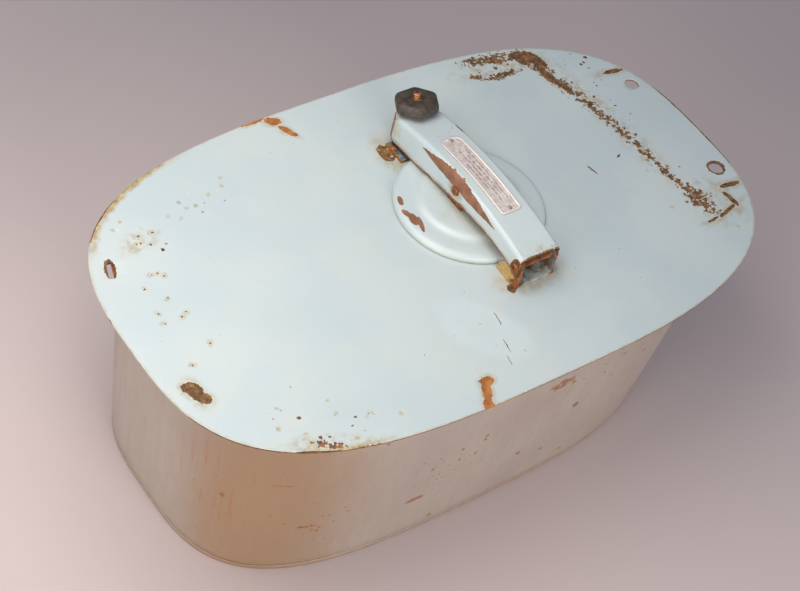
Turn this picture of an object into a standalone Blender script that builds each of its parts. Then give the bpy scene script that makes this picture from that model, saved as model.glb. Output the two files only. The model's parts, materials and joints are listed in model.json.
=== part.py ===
"""Sheet-steel tub with an overhanging top plate and a round hatch held shut by a clamp arm.

Units are metres, +Z is up, +X runs along the tub and +Y across it.
The origin is under the middle of the top plate, on the surface that the tub stands on.
"""
import math

import bmesh
import bpy
from mathutils import Matrix, Vector

MM = 0.001
GAP = 0.3 * MM

# Top plate
PLATE_TOP = 223 * MM
PLATE_THICKNESS = 2 * MM
PLATE_HALF_LENGTH = 312 * MM
PLATE_HALF_WIDTH = 184 * MM
PLATE_EXPONENT = 3.07
PLATE_UNDERSIDE = PLATE_TOP - PLATE_THICKNESS

# Tub: a tapered wall of rounded outline, and a shallow pan pressed round its foot
TUB_TOP_HALF = Vector((284 * MM, 168 * MM))
TUB_BASE_HALF = Vector((263 * MM, 147 * MM))
TUB_TOP_CENTRE_X = -5 * MM
TUB_BASE_CENTRE_X = -13 * MM
TUB_EXPONENT = 3.28
WALL_THICKNESS = 1.5 * MM
PAN_THICKNESS = 1.5 * MM
PAN_RIM_HEIGHT = 6 * MM
WELD_LEG = 3.5 * MM
OUTLINE_STEPS = 88

# Fixing holes in the overhang of the plate
FIXING_HOLE_RADIUS = 7.2 * MM
FIXING_HOLES = (Vector((290 * MM, 75 * MM)), Vector((293 * MM, -51 * MM)))
FIXING_SLOT_CENTRE = Vector((-284 * MM, 81 * MM))
FIXING_SLOT_TURN = math.radians(-20)
FIXING_SLOT_WIDTH = 6.6 * MM
FIXING_SLOT_LENGTH = 18 * MM

# Hatch
HATCH_CENTRE = Vector((42 * MM, 11 * MM, PLATE_TOP))
HATCH_OPENING_RADIUS = 55 * MM
NECK_INNER_RADIUS = 53 * MM
CAP_RADIUS = 70 * MM
CAP_SHEET = 1.2 * MM
CAP_DISC_HEIGHT = 11 * MM
SADDLE_RIVET_OFFSET = 9 * MM

# Clamp arm: an arched channel, open at the hinge end and rounded at the knob end
ARM_X = HATCH_CENTRE.x
ARM_HALF_WIDTH = 21.75 * MM
ARM_SHEET = 1.6 * MM
ARM_FOLD = 4.5 * MM
ARM_OPEN_Y = -86 * MM
ARM_ROUND_Y = 100 * MM
ARM_PEAK_HEIGHT = 45 * MM
ARM_ARCH_RADIUS = 400 * MM
ARM_EDGE_MARKS = (  # along the arm, and height of the flange's lower edge above the plate
    (-80 * MM, 14 * MM),
    (-40 * MM, 20.5 * MM),
    (30 * MM, 15.4 * MM),
    (112 * MM, 6.4 * MM),
)

# Hinge
HINGE_PIVOT = Vector((ARM_X, -80.6 * MM, PLATE_TOP + 21 * MM))
HINGE_PIN_RADIUS = 3.2 * MM
PIN_CLEARANCE = 0.3 * MM
BRACKET_REAR_Y = -88 * MM
BRACKET_FRONT_Y = -60.2 * MM
BRACKET_SHEET = 2 * MM
EAR_OUTER_OFFSET = 19.6 * MM
EAR_ROUND_RADIUS = 8 * MM
HINGE_RIVET_Y = -67 * MM
HINGE_RIVET_OFFSET = 9 * MM

# Cap pivot
CAP_PIVOT = Vector((ARM_X, 11.5 * MM, PLATE_TOP + 29 * MM))
CAP_PIVOT_RADIUS = 2.6 * MM
SADDLE_SHEET = 1.6 * MM
SADDLE_HALF_LENGTH = 10 * MM

# Clamp bolt and knob, on an axis square to the arm
KNOB_Y = 105 * MM
BOLT_RADIUS = 4 * MM
BOLT_TIP = 21 * MM
T_HEAD_TOP = -22.8 * MM
T_HEAD_SIZE = Vector((7 * MM, 16 * MM, 4 * MM))
WASHER_RADIUS = 11 * MM
KNOB_RADIUS = 20.3 * MM
KNOB_LOBE = 0.048
KNOB_LOBES = 6
KNOB_BORE = 6.3 * MM

# Keeper: a low bridge on the plate that the bolt's T-head hooks under
KEEPER_TOP = 16 * MM
KEEPER_SHEET = 2 * MM
KEEPER_RISER_OFFSET = 14 * MM
KEEPER_FOOT_OFFSET = 26 * MM
KEEPER_FOOT_Y = (81.5 * MM, 107 * MM)
KEEPER_WEB_Y = (87 * MM, 113 * MM)
KEEPER_SLOT_CENTRE_Y = 100 * MM
KEEPER_SLOT_HALF = Vector((4.6 * MM, 10 * MM))
KEEPER_RIVET_OFFSET = 22.5 * MM
KEEPER_RIVET_Y = 98 * MM

# Blank rating plate on the arm
NAMEPLATE_HALF_WIDTH = 11 * MM
NAMEPLATE_Y = (-40 * MM, 57 * MM)
NAMEPLATE_CORNER = 5 * MM
NAMEPLATE_SHEET = 0.8 * MM
NAMEPLATE_RIVETS_Y = (-36 * MM, 53 * MM)
NAMEPLATE_RIVET_HOLE = 1.4 * MM

RIVET_SHANK = 1.6 * MM
RIVET_HOLE = RIVET_SHANK + GAP
ROUND_STEPS = 32
SMALL_STEPS = 16

PAINT_BLUE = (0.64, 0.72, 0.74)
TUB_BROWN = (0.38, 0.28, 0.22)
BARE_STEEL = (0.20, 0.21, 0.22)
RUSTY_STEEL = (0.27, 0.12, 0.06)
ALUMINIUM = (0.70, 0.64, 0.62)
BLACK_RUBBER = (0.03, 0.03, 0.03)
BLACK_BAKELITE = (0.035, 0.028, 0.022)
BRASS = (0.60, 0.35, 0.18)


def clear_scene():
    for item in list(bpy.data.objects):
        bpy.data.objects.remove(item, do_unlink=True)


def new_collection(name):
    collection = bpy.data.collections.new(name)
    bpy.context.scene.collection.children.link(collection)
    return collection


clear_scene()
PARTS = new_collection("clamped_hatch_tub")
CUTTERS = new_collection("cutters")


def material(name, colour, roughness, metallic):
    made = bpy.data.materials.new(name)
    made.use_nodes = True
    shader = made.node_tree.nodes["Principled BSDF"]
    shader.inputs["Base Color"].default_value = (*colour, 1.0)
    shader.inputs["Roughness"].default_value = roughness
    shader.inputs["Metallic"].default_value = metallic
    made.diffuse_color = (*colour, 1.0)
    return made


def add_part(name, mesh, look):
    """Link a mesh as a named part with its own material."""
    part = bpy.data.objects.new(name, mesh)
    PARTS.objects.link(part)
    mesh.materials.clear()
    mesh.materials.append(material(name, *look))
    return part


def finish_mesh(mesh_builder, name):
    mesh = bpy.data.meshes.new(name)
    mesh_builder.to_mesh(mesh)
    mesh_builder.free()
    return mesh


def shade(part, angle=35):
    part.data.shade_smooth()
    part.data.set_sharp_from_angle(angle=math.radians(angle))


def cut(part, cutter, operation="DIFFERENCE"):
    step = part.modifiers.new(cutter.name, "BOOLEAN")
    step.operation = operation
    step.object = cutter
    step.solver = "EXACT"


def hide_cutter(cutter):
    for collection in list(cutter.users_collection):
        collection.objects.unlink(cutter)
    CUTTERS.objects.link(cutter)
    cutter.hide_render = True
    cutter.display_type = "WIRE"
    return cutter


def box_cutter(name, low, high):
    builder = bmesh.new()
    bmesh.ops.create_cube(builder, size=1.0)
    size = Vector(high) - Vector(low)
    centre = (Vector(high) + Vector(low)) / 2
    bmesh.ops.scale(builder, vec=size, verts=builder.verts)
    bmesh.ops.translate(builder, vec=centre, verts=builder.verts)
    cutter = bpy.data.objects.new(name, finish_mesh(builder, name))
    CUTTERS.objects.link(cutter)
    return hide_cutter(cutter)


def round_cutter(name, centre, radius, length, axis="Z", steps=24):
    turns = {"X": Matrix.Rotation(math.pi / 2, 3, "Y"), "Z": Matrix.Identity(3)}
    builder = bmesh.new()
    bmesh.ops.create_cone(
        builder, cap_ends=True, segments=steps, radius1=radius, radius2=radius, depth=length
    )
    bmesh.ops.rotate(builder, cent=(0, 0, 0), matrix=turns[axis], verts=builder.verts)
    bmesh.ops.translate(builder, vec=centre, verts=builder.verts)
    cutter = bpy.data.objects.new(name, finish_mesh(builder, name))
    CUTTERS.objects.link(cutter)
    return hide_cutter(cutter)


def turned(name, profile, look, location=(0, 0, 0), turn=None, steps=ROUND_STEPS, ring=False):
    """Turn a profile of (radius, height) points, which runs down its outer side."""
    builder = bmesh.new()
    points = [builder.verts.new((radius, 0, height)) for radius, height in profile]
    for first, second in zip(points, points[1:]):
        builder.edges.new((first, second))
    if ring:
        builder.edges.new((points[-1], points[0]))
    part = add_part(name, finish_mesh(builder, name), look)
    part.location = location
    if turn:
        part.rotation_euler = turn
    screw = part.modifiers.new("turn", "SCREW")
    screw.axis = "Z"
    screw.steps = steps
    screw.render_steps = steps
    screw.use_merge_vertices = True
    screw.merge_threshold = 0.00001
    screw.use_smooth_shade = True
    return part


def arc(centre, radius, start, end, steps):
    """Points on a circular arc in the plane of a 2D outline; the angles are in degrees."""
    angles = [math.radians(start + (end - start) * i / steps) for i in range(steps + 1)]
    return [(centre[0] + radius * math.cos(a), centre[1] + radius * math.sin(a)) for a in angles]


def flat_piece(name, outlines, thickness, look, placing):
    """Fill flat outlines, inner ones as holes, to a plate that placing then moves."""
    curve = bpy.data.curves.new(name, "CURVE")
    curve.dimensions = "2D"
    curve.fill_mode = "BOTH"
    curve.extrude = thickness / 2
    for outline in outlines:
        spline = curve.splines.new("POLY")
        spline.points.add(len(outline) - 1)
        for point, (x, y) in zip(spline.points, outline):
            point.co = (x, y, 0, 1)
        spline.use_cyclic_u = True
    guide = bpy.data.objects.new(name + "_outline", curve)
    bpy.context.scene.collection.objects.link(guide)
    guide.matrix_world = placing
    bpy.context.view_layer.update()
    evaluated = guide.evaluated_get(bpy.context.evaluated_depsgraph_get())
    builder = bmesh.new()
    builder.from_mesh(bpy.data.meshes.new_from_object(evaluated))
    bmesh.ops.remove_doubles(builder, verts=builder.verts, dist=0.00001)
    bmesh.ops.recalc_face_normals(builder, faces=builder.faces)
    part = add_part(name, finish_mesh(builder, name), look)
    part.matrix_world = guide.matrix_world.copy()
    bpy.data.objects.remove(guide, do_unlink=True)
    return part


def across_arm(y):
    """Placing for an outline drawn in X and Z, extruded along Y and centred at y."""
    return Matrix.Translation((0, y, 0)) @ Matrix.Rotation(math.pi / 2, 4, "X")


def along_arm(x):
    """Placing for an outline drawn in Y and Z, extruded along X and centred at x."""
    turn = Matrix(((0, 0, 1), (1, 0, 0), (0, 1, 0))).to_4x4()
    return Matrix.Translation((x, 0, 0)) @ turn


def rounded_outline(centre, half, exponent, height):
    """Superellipse points at one height, evenly spread in angle."""
    points = []
    for i in range(OUTLINE_STEPS):
        angle = 2 * math.pi * i / OUTLINE_STEPS
        c, s = math.cos(angle), math.sin(angle)
        x = half[0] * math.copysign(abs(c) ** (2 / exponent), c)
        y = half[1] * math.copysign(abs(s) ** (2 / exponent), s)
        points.append(Vector((centre + x, y, height)))
    return points


def tub_outline(height, offset=0.0):
    """Outline of the tub's outer face at one height, grown by offset."""
    share = height / PLATE_UNDERSIDE
    half = TUB_BASE_HALF.lerp(TUB_TOP_HALF, share) + Vector((offset, offset))
    centre = TUB_BASE_CENTRE_X + (TUB_TOP_CENTRE_X - TUB_BASE_CENTRE_X) * share
    return rounded_outline(centre, half, TUB_EXPONENT, height)


def loft(name, rings, look, closed_loop):
    """Join rings of equal count; the ends are capped unless the rings close on themselves."""
    builder = bmesh.new()
    rows = [[builder.verts.new(point) for point in ring] for ring in rings]
    pairs = list(zip(rows, rows[1:]))
    if closed_loop:
        pairs.append((rows[-1], rows[0]))
    for lower, upper in pairs:
        count = len(lower)
        for i in range(count):
            j = (i + 1) % count
            builder.faces.new((lower[i], lower[j], upper[j], upper[i]))
    if not closed_loop:
        builder.faces.new(list(reversed(rows[0])))
        builder.faces.new(rows[-1])
    bmesh.ops.recalc_face_normals(builder, faces=builder.faces)
    part = add_part(name, finish_mesh(builder, name), look)
    shade(part)
    return part


def rivet_profile(head_radius, head_base, head_top, tail_top, tail_base):
    """Domed head, shank and flat tail, from the top down."""
    dome = head_top - head_base
    return [
        (0, head_top),
        (head_radius * 0.5, head_top - dome * 0.15),
        (head_radius * 0.87, head_top - dome * 0.5),
        (head_radius, head_base),
        (RIVET_SHANK, head_base),
        (RIVET_SHANK, tail_top),
        (head_radius * 0.8, tail_top),
        (head_radius * 0.8, tail_base),
        (0, tail_base),
    ]


def rivets(name, centres, profile, look):
    """Equal rivets, each a part of its own with a numbered name."""
    for number, centre in enumerate(centres, start=1):
        turned(f"{name}_{number}", profile, look, centre, steps=SMALL_STEPS)


def arm_top(y):
    """Height of the arm's outer face above the ground."""
    rise = y - HATCH_CENTRE.y
    return PLATE_TOP + ARM_PEAK_HEIGHT - rise * rise / (2 * ARM_ARCH_RADIUS)


def arm_edge(y):
    """Height of the lower edge of the arm's flanges, a smooth cubic through four heights."""
    height = 0.0
    for mark, value in ARM_EDGE_MARKS:
        term = value
        for other, _ in ARM_EDGE_MARKS:
            if other != mark:
                term *= (y - other) / (mark - other)
        height += term
    return PLATE_TOP + height


KNOB_TILT = math.asin((KNOB_Y - HATCH_CENTRE.y) / ARM_ARCH_RADIUS)
KNOB_FOOT = Vector((ARM_X, KNOB_Y, arm_top(KNOB_Y)))


# ---------------------------------------------------------------- tub and plate

def make_tub():
    paint = (TUB_BROWN, 0.45, 0.6)
    pan_base = tub_outline(0.0, offset=-PAN_THICKNESS)
    pan_low = tub_outline(PAN_THICKNESS)
    pan_rim = tub_outline(PAN_RIM_HEIGHT)
    pan_rim_inner = tub_outline(PAN_RIM_HEIGHT, offset=-PAN_THICKNESS)
    pan_floor = tub_outline(PAN_THICKNESS, offset=-PAN_THICKNESS)
    loft("tub_bottom", [pan_base, pan_low, pan_rim, pan_rim_inner, pan_floor], paint, False)

    inset = -(PAN_THICKNESS + GAP)
    low = PAN_THICKNESS + GAP
    high = PLATE_UNDERSIDE - GAP
    middle = (low + high) / 2
    outer = [tub_outline(z, offset=inset) for z in (low, middle, high)]
    inner = [tub_outline(z, offset=inset - WALL_THICKNESS) for z in (high, middle, low)]
    loft("tub_wall", outer + inner, paint, True)

    bead_inner = inset + GAP
    bead = [
        tub_outline(high, offset=bead_inner),
        tub_outline(high - WELD_LEG, offset=bead_inner),
        tub_outline(high, offset=bead_inner + WELD_LEG),
    ]
    loft("top_weld_bead", bead, (RUSTY_STEEL, 0.8, 0.3), True)


def circle(centre, radius, steps):
    return arc(centre, radius, 0, 360 - 360 / steps, steps - 1)


def make_top_plate():
    edge = rounded_outline(0.0, (PLATE_HALF_LENGTH, PLATE_HALF_WIDTH), PLATE_EXPONENT, 0.0)
    outlines = [[(point.x, point.y) for point in edge]]
    outlines.append(circle(HATCH_CENTRE, HATCH_OPENING_RADIUS, 48))
    outlines.extend(circle(centre, FIXING_HOLE_RADIUS, 20) for centre in FIXING_HOLES)
    end = FIXING_SLOT_WIDTH / 2
    reach = FIXING_SLOT_LENGTH / 2 - end
    slot = arc((0, reach), end, 0, 180, 8) + arc((0, -reach), end, 180, 360, 8)
    turn = Matrix.Rotation(FIXING_SLOT_TURN, 2)
    outlines.append([tuple(FIXING_SLOT_CENTRE + turn @ Vector(point)) for point in slot])
    for x, y in HINGE_RIVETS + KEEPER_RIVETS:
        outlines.append(circle((x, y), RIVET_HOLE, 12))
    placing = Matrix.Translation((0, 0, PLATE_TOP - PLATE_THICKNESS / 2))
    flat_piece("top_plate", outlines, PLATE_THICKNESS, (PAINT_BLUE, 0.35, 0.0), placing)


HINGE_RIVETS = [(ARM_X + side * HINGE_RIVET_OFFSET, HINGE_RIVET_Y) for side in (-1, 1)]
KEEPER_RIVETS = [(ARM_X + side * KEEPER_RIVET_OFFSET, KEEPER_RIVET_Y) for side in (-1, 1)]


# ---------------------------------------------------------------- hatch

def make_hatch_neck():
    lip_top, lip_under = 3.3 * MM, 2.1 * MM
    flange_top = -PLATE_THICKNESS - GAP
    wall = HATCH_OPENING_RADIUS - 0.5 * MM
    profile = [
        (64 * MM, lip_top),
        (64 * MM, lip_under),
        (wall, lip_under),
        (wall, flange_top),
        (66 * MM, flange_top),
        (66 * MM, flange_top - 1.2 * MM),
        (NECK_INNER_RADIUS, flange_top - 1.2 * MM),
        (NECK_INNER_RADIUS, lip_top),
    ]
    turned("hatch_neck", profile, (PAINT_BLUE, 0.4, 0.0), HATCH_CENTRE, steps=48, ring=True)


def make_hatch_cap():
    step = CAP_DISC_HEIGHT
    outer = [
        (0, step),
        (42 * MM, step),
        (46 * MM, step - 0.5 * MM),
        (50 * MM, 8.4 * MM),
        (53.5 * MM, 7.8 * MM),
        (64.5 * MM, 7.4 * MM),
        (68 * MM, 6.2 * MM),
        (69.6 * MM, 4.4 * MM),
        (CAP_RADIUS, 2.6 * MM),
        (CAP_RADIUS, 0.6 * MM),
    ]
    inner = [
        (CAP_RADIUS - CAP_SHEET, 0.6 * MM),
        (CAP_RADIUS - CAP_SHEET, 2.6 * MM),
        (68.4 * MM, 4.0 * MM),
        (67.2 * MM, 5.2 * MM),
        (64 * MM, 6.2 * MM),
        (53.2 * MM, 6.6 * MM),
        (49.3 * MM, 7.4 * MM),
        (45.4 * MM, step - 1.6 * MM),
        (42 * MM, step - CAP_SHEET),
        (0, step - CAP_SHEET),
    ]
    cap = turned("hatch_cap", outer + inner, (PAINT_BLUE, 0.35, 0.0), HATCH_CENTRE, steps=48)
    for x, y in SADDLE_RIVETS:
        centre = (x, y, PLATE_TOP + step)
        cut(cap, round_cutter("cap_rivet_hole", centre, RIVET_HOLE, 10 * MM, steps=12))

    gasket = [(64 * MM, 5.7 * MM), (64 * MM, 3.6 * MM), (56.5 * MM, 3.6 * MM), (56.5 * MM, 5.7 * MM)]
    turned("hatch_gasket", gasket, (BLACK_RUBBER, 0.8, 0.0), HATCH_CENTRE, steps=48, ring=True)

    spigot = [
        (0, -2 * MM),
        (49.6 * MM, -2 * MM),
        (50.4 * MM, -1.2 * MM),
        (50.4 * MM, 5.9 * MM),
        (55.4 * MM, 5.9 * MM),
        (55.4 * MM, 4.9 * MM),
        (51.4 * MM, 4.9 * MM),
        (51.4 * MM, -2 * MM),
        (50.4 * MM, -3 * MM),
        (0, -3 * MM),
    ]
    turned("hatch_spigot", spigot, (BARE_STEEL, 0.5, 0.8), HATCH_CENTRE, steps=48)


SADDLE_RIVETS = [(HATCH_CENTRE.x + side * SADDLE_RIVET_OFFSET, HATCH_CENTRE.y) for side in (-1, 1)]


def make_cap_saddle():
    base = PLATE_TOP + CAP_DISC_HEIGHT + GAP
    top = CAP_PIVOT.z + 5.5 * MM
    outer, inner = EAR_OUTER_OFFSET, EAR_OUTER_OFFSET - SADDLE_SHEET
    section = [
        (-outer, top), (-outer, base), (outer, base), (outer, top),
        (inner, top), (inner, base + SADDLE_SHEET), (-inner, base + SADDLE_SHEET), (-inner, top),
    ]
    section = [(ARM_X + x, z) for x, z in section]
    saddle = flat_piece(
        "cap_saddle", [section], 2 * SADDLE_HALF_LENGTH, (RUSTY_STEEL, 0.7, 0.5), across_arm(HATCH_CENTRE.y)
    )
    ear = 5.5 * MM
    foot = SADDLE_HALF_LENGTH + MM
    side = arc((CAP_PIVOT.y, CAP_PIVOT.z), ear, 0, 180, 10)
    side += [(CAP_PIVOT.y - foot, base + 2 * SADDLE_SHEET), (CAP_PIVOT.y - foot, base - MM)]
    side += [(CAP_PIVOT.y + foot, base - MM), (CAP_PIVOT.y + foot, base + 2 * SADDLE_SHEET)]
    cut(saddle, outline_cutter("saddle_side", side, 50 * MM), "INTERSECT")
    cut(saddle, round_cutter("saddle_pin_hole", CAP_PIVOT, CAP_PIVOT_RADIUS + PIN_CLEARANCE, 60 * MM, "X"))
    for x, y in SADDLE_RIVETS:
        cut(saddle, round_cutter("saddle_rivet_hole", (x, y, base), RIVET_HOLE, 10 * MM, steps=12))

    head = CAP_DISC_HEIGHT + 2 * GAP + SADDLE_SHEET
    tail = CAP_DISC_HEIGHT - CAP_SHEET - GAP
    profile = rivet_profile(3.2 * MM, head, head + 2 * MM, tail, tail - 1.5 * MM)
    centres = [(x, y, PLATE_TOP) for x, y in SADDLE_RIVETS]
    rivets("cap_saddle_rivet", centres, profile, (RUSTY_STEEL, 0.6, 0.6))


def outline_cutter(name, outline, width):
    """A prism across the arm, drawn in Y and Z, used as a cutter."""
    return hide_cutter(flat_piece(name, [outline], width, (BARE_STEEL, 0.5, 0.5), along_arm(ARM_X)))


def cross_pin(name, centre, radius, head_radius, head_width, bore, look):
    """A pin along X through both flanges of the arm, with a head outside each."""
    shoulder = ARM_HALF_WIDTH + GAP
    end = shoulder + head_width
    profile = [
        (bore, end),
        (head_radius - 0.8 * MM, end),
        (head_radius, end - 0.8 * MM),
        (head_radius, shoulder),
        (radius, shoulder),
        (radius, -shoulder),
        (head_radius, -shoulder),
        (head_radius, -end + 0.8 * MM),
        (head_radius - 0.8 * MM, -end),
        (bore, -end),
    ]
    return turned(name, profile, look, centre, (0, math.pi / 2, 0), steps=24, ring=bore > 0)


# ---------------------------------------------------------------- clamp arm

def arm_half_rows():
    """Rows of points from the flange's edge, over the fold, to the middle line of the arm."""
    straight = 22
    turn = 8
    stations = []
    for i in range(straight + 1):
        y = ARM_OPEN_Y + (ARM_ROUND_Y - ARM_OPEN_Y) * i / straight
        stations.append((Vector((0, y)), Vector((1, 0))))
    for i in range(1, turn + 1):
        angle = math.pi / 2 * i / turn
        stations.append((Vector((0, ARM_ROUND_Y)), Vector((math.cos(angle), math.sin(angle)))))

    fold_steps = 4
    insets = [(0.0, None), (0.0, ARM_FOLD)]
    for i in range(1, fold_steps + 1):
        angle = math.pi / 2 * i / fold_steps
        insets.append((ARM_FOLD * (1 - math.cos(angle)), ARM_FOLD * (1 - math.sin(angle))))
    insets.append((ARM_HALF_WIDTH, 0.0))

    rows = []
    for inset, drop in insets:
        row = []
        for centre, direction in stations:
            place = centre + direction * (ARM_HALF_WIDTH - inset)
            top = arm_top(place.y)
            height = arm_edge(place.y) if drop is None else top - drop
            row.append(Vector((place.x, place.y, height)))
        rows.append(row)
    return rows


def make_clamp_arm():
    rows = arm_half_rows()
    builder = bmesh.new()
    grid = [[builder.verts.new(point) for point in row] for row in rows]
    for lower, upper in zip(grid, grid[1:]):
        for i in range(len(lower) - 1):
            builder.faces.new((lower[i], lower[i + 1], upper[i + 1], upper[i]))
    bmesh.ops.remove_doubles(builder, verts=builder.verts, dist=0.00001)
    bmesh.ops.recalc_face_normals(builder, faces=builder.faces)
    builder.faces.ensure_lookup_table()
    highest = max(builder.faces, key=lambda face: face.calc_center_median().z)
    if highest.normal.z < 0:
        bmesh.ops.reverse_faces(builder, faces=builder.faces)
    arm = add_part("clamp_arm", finish_mesh(builder, "clamp_arm"), (PAINT_BLUE, 0.35, 0.0))
    arm.location = (ARM_X, 0, 0)
    mirror = arm.modifiers.new("other_half", "MIRROR")
    mirror.use_axis = (True, False, False)
    mirror.use_clip = True
    mirror.merge_threshold = 0.00001
    sheet = arm.modifiers.new("sheet", "SOLIDIFY")
    sheet.thickness = ARM_SHEET
    sheet.offset = -1
    sheet.use_even_offset = True
    shade(arm)
    pin_hole = HINGE_PIN_RADIUS + PIN_CLEARANCE
    pivot_hole = CAP_PIVOT_RADIUS + PIN_CLEARANCE
    cut(arm, round_cutter("arm_pin_hole", HINGE_PIVOT, pin_hole, 60 * MM, "X"))
    cut(arm, round_cutter("arm_pivot_hole", CAP_PIVOT, pivot_hole, 60 * MM, "X"))
    cut(arm, round_cutter("arm_bolt_hole", KNOB_FOOT, BOLT_RADIUS + 1.4 * MM, 24 * MM))
    for y in NAMEPLATE_RIVETS_Y:
        centre = (ARM_X, y, arm_top(y))
        cut(arm, round_cutter("arm_nameplate_hole", centre, NAMEPLATE_RIVET_HOLE, 10 * MM, steps=12))
    return arm


def make_nameplate():
    """A strip that follows the arch of the arm, with rounded corners and no marking."""
    low, high = NAMEPLATE_Y
    corner_steps = 4
    length_steps = 12
    stations = []
    for i in range(corner_steps + 1):
        angle = math.pi / 2 * i / corner_steps
        stations.append((
            low + NAMEPLATE_CORNER * (1 - math.cos(angle)),
            NAMEPLATE_HALF_WIDTH - NAMEPLATE_CORNER * (1 - math.sin(angle)),
        ))
    first = low + NAMEPLATE_CORNER
    last = high - NAMEPLATE_CORNER
    step = (last - first) / length_steps
    middle = [(first + step * i, NAMEPLATE_HALF_WIDTH) for i in range(1, length_steps)]
    far = [(low + high - y, half) for y, half in reversed(stations)]
    builder = bmesh.new()
    rows = []
    for y, half in stations + middle + far:
        height = arm_top(y) + GAP
        rows.append([builder.verts.new((ARM_X + side * half, y, height)) for side in (-1, 0, 1)])
    for near, far_row in zip(rows, rows[1:]):
        for i in range(2):
            builder.faces.new((near[i], near[i + 1], far_row[i + 1], far_row[i]))
    plate = add_part("nameplate", finish_mesh(builder, "nameplate"), (ALUMINIUM, 0.4, 0.9))
    sheet = plate.modifiers.new("sheet", "SOLIDIFY")
    sheet.thickness = NAMEPLATE_SHEET
    sheet.offset = 1
    for y in NAMEPLATE_RIVETS_Y:
        centre = (ARM_X, y, arm_top(y))
        cut(plate, round_cutter("nameplate_hole", centre, NAMEPLATE_RIVET_HOLE, 10 * MM, steps=12))

    profile = [
        (0, 0.9 * MM), (1.2 * MM, 0.7 * MM), (2.1 * MM, 0), (MM, 0), (MM, -3.6 * MM),
        (1.9 * MM, -3.6 * MM), (1.9 * MM, -4.4 * MM), (0, -4.4 * MM),
    ]
    seat = 2 * GAP + NAMEPLATE_SHEET + 0.2 * MM
    centres = [(ARM_X, y, arm_top(y) + seat) for y in NAMEPLATE_RIVETS_Y]
    rivets("nameplate_rivet", centres, profile, (ALUMINIUM, 0.4, 0.9))


# ---------------------------------------------------------------- hinge

def make_hinge():
    base = PLATE_TOP + GAP
    top = HINGE_PIVOT.z + EAR_ROUND_RADIUS
    outer, inner = EAR_OUTER_OFFSET, EAR_OUTER_OFFSET - BRACKET_SHEET
    foot = ARM_HALF_WIDTH
    tread = base + BRACKET_SHEET
    section = [
        (-foot, base), (foot, base), (foot, tread), (outer, tread), (outer, top), (inner, top),
        (inner, tread), (-inner, tread), (-inner, top), (-outer, top), (-outer, tread), (-foot, tread),
    ]
    section = [(ARM_X + x, z) for x, z in section]
    middle = (BRACKET_REAR_Y + BRACKET_FRONT_Y) / 2
    length = BRACKET_FRONT_Y - BRACKET_REAR_Y
    bracket = flat_piece("hinge_bracket", [section], length, (RUSTY_STEEL, 0.75, 0.3), across_arm(middle))
    side = arc((HINGE_PIVOT.y, HINGE_PIVOT.z), EAR_ROUND_RADIUS - 0.1 * MM, 35, 180, 10)
    side += [(BRACKET_REAR_Y - MM, HINGE_PIVOT.z - 4 * MM), (BRACKET_REAR_Y - MM, base - MM)]
    side += [(BRACKET_FRONT_Y + MM, base - MM), (BRACKET_FRONT_Y + MM, tread + 3 * MM)]
    cut(bracket, outline_cutter("bracket_side", side, 60 * MM), "INTERSECT")
    hole = HINGE_PIN_RADIUS + PIN_CLEARANCE
    cut(bracket, round_cutter("bracket_pin_hole", HINGE_PIVOT, hole, 60 * MM, "X"))
    for x, y in HINGE_RIVETS:
        cut(bracket, round_cutter("bracket_rivet_hole", (x, y, base), RIVET_HOLE, 10 * MM, steps=12))

    head = 2 * GAP + BRACKET_SHEET
    tail = -PLATE_THICKNESS - GAP
    profile = rivet_profile(3.4 * MM, head, head + 2.2 * MM, tail, tail - 1.5 * MM)
    centres = [(x, y, PLATE_TOP) for x, y in HINGE_RIVETS]
    rivets("hinge_bracket_rivet", centres, profile, (RUSTY_STEEL, 0.7, 0.5))
    cross_pin(
        "hinge_pin", HINGE_PIVOT, HINGE_PIN_RADIUS, 5.2 * MM, 1.8 * MM, 1.6 * MM, (RUSTY_STEEL, 0.6, 0.6)
    )


# ---------------------------------------------------------------- keeper

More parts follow.
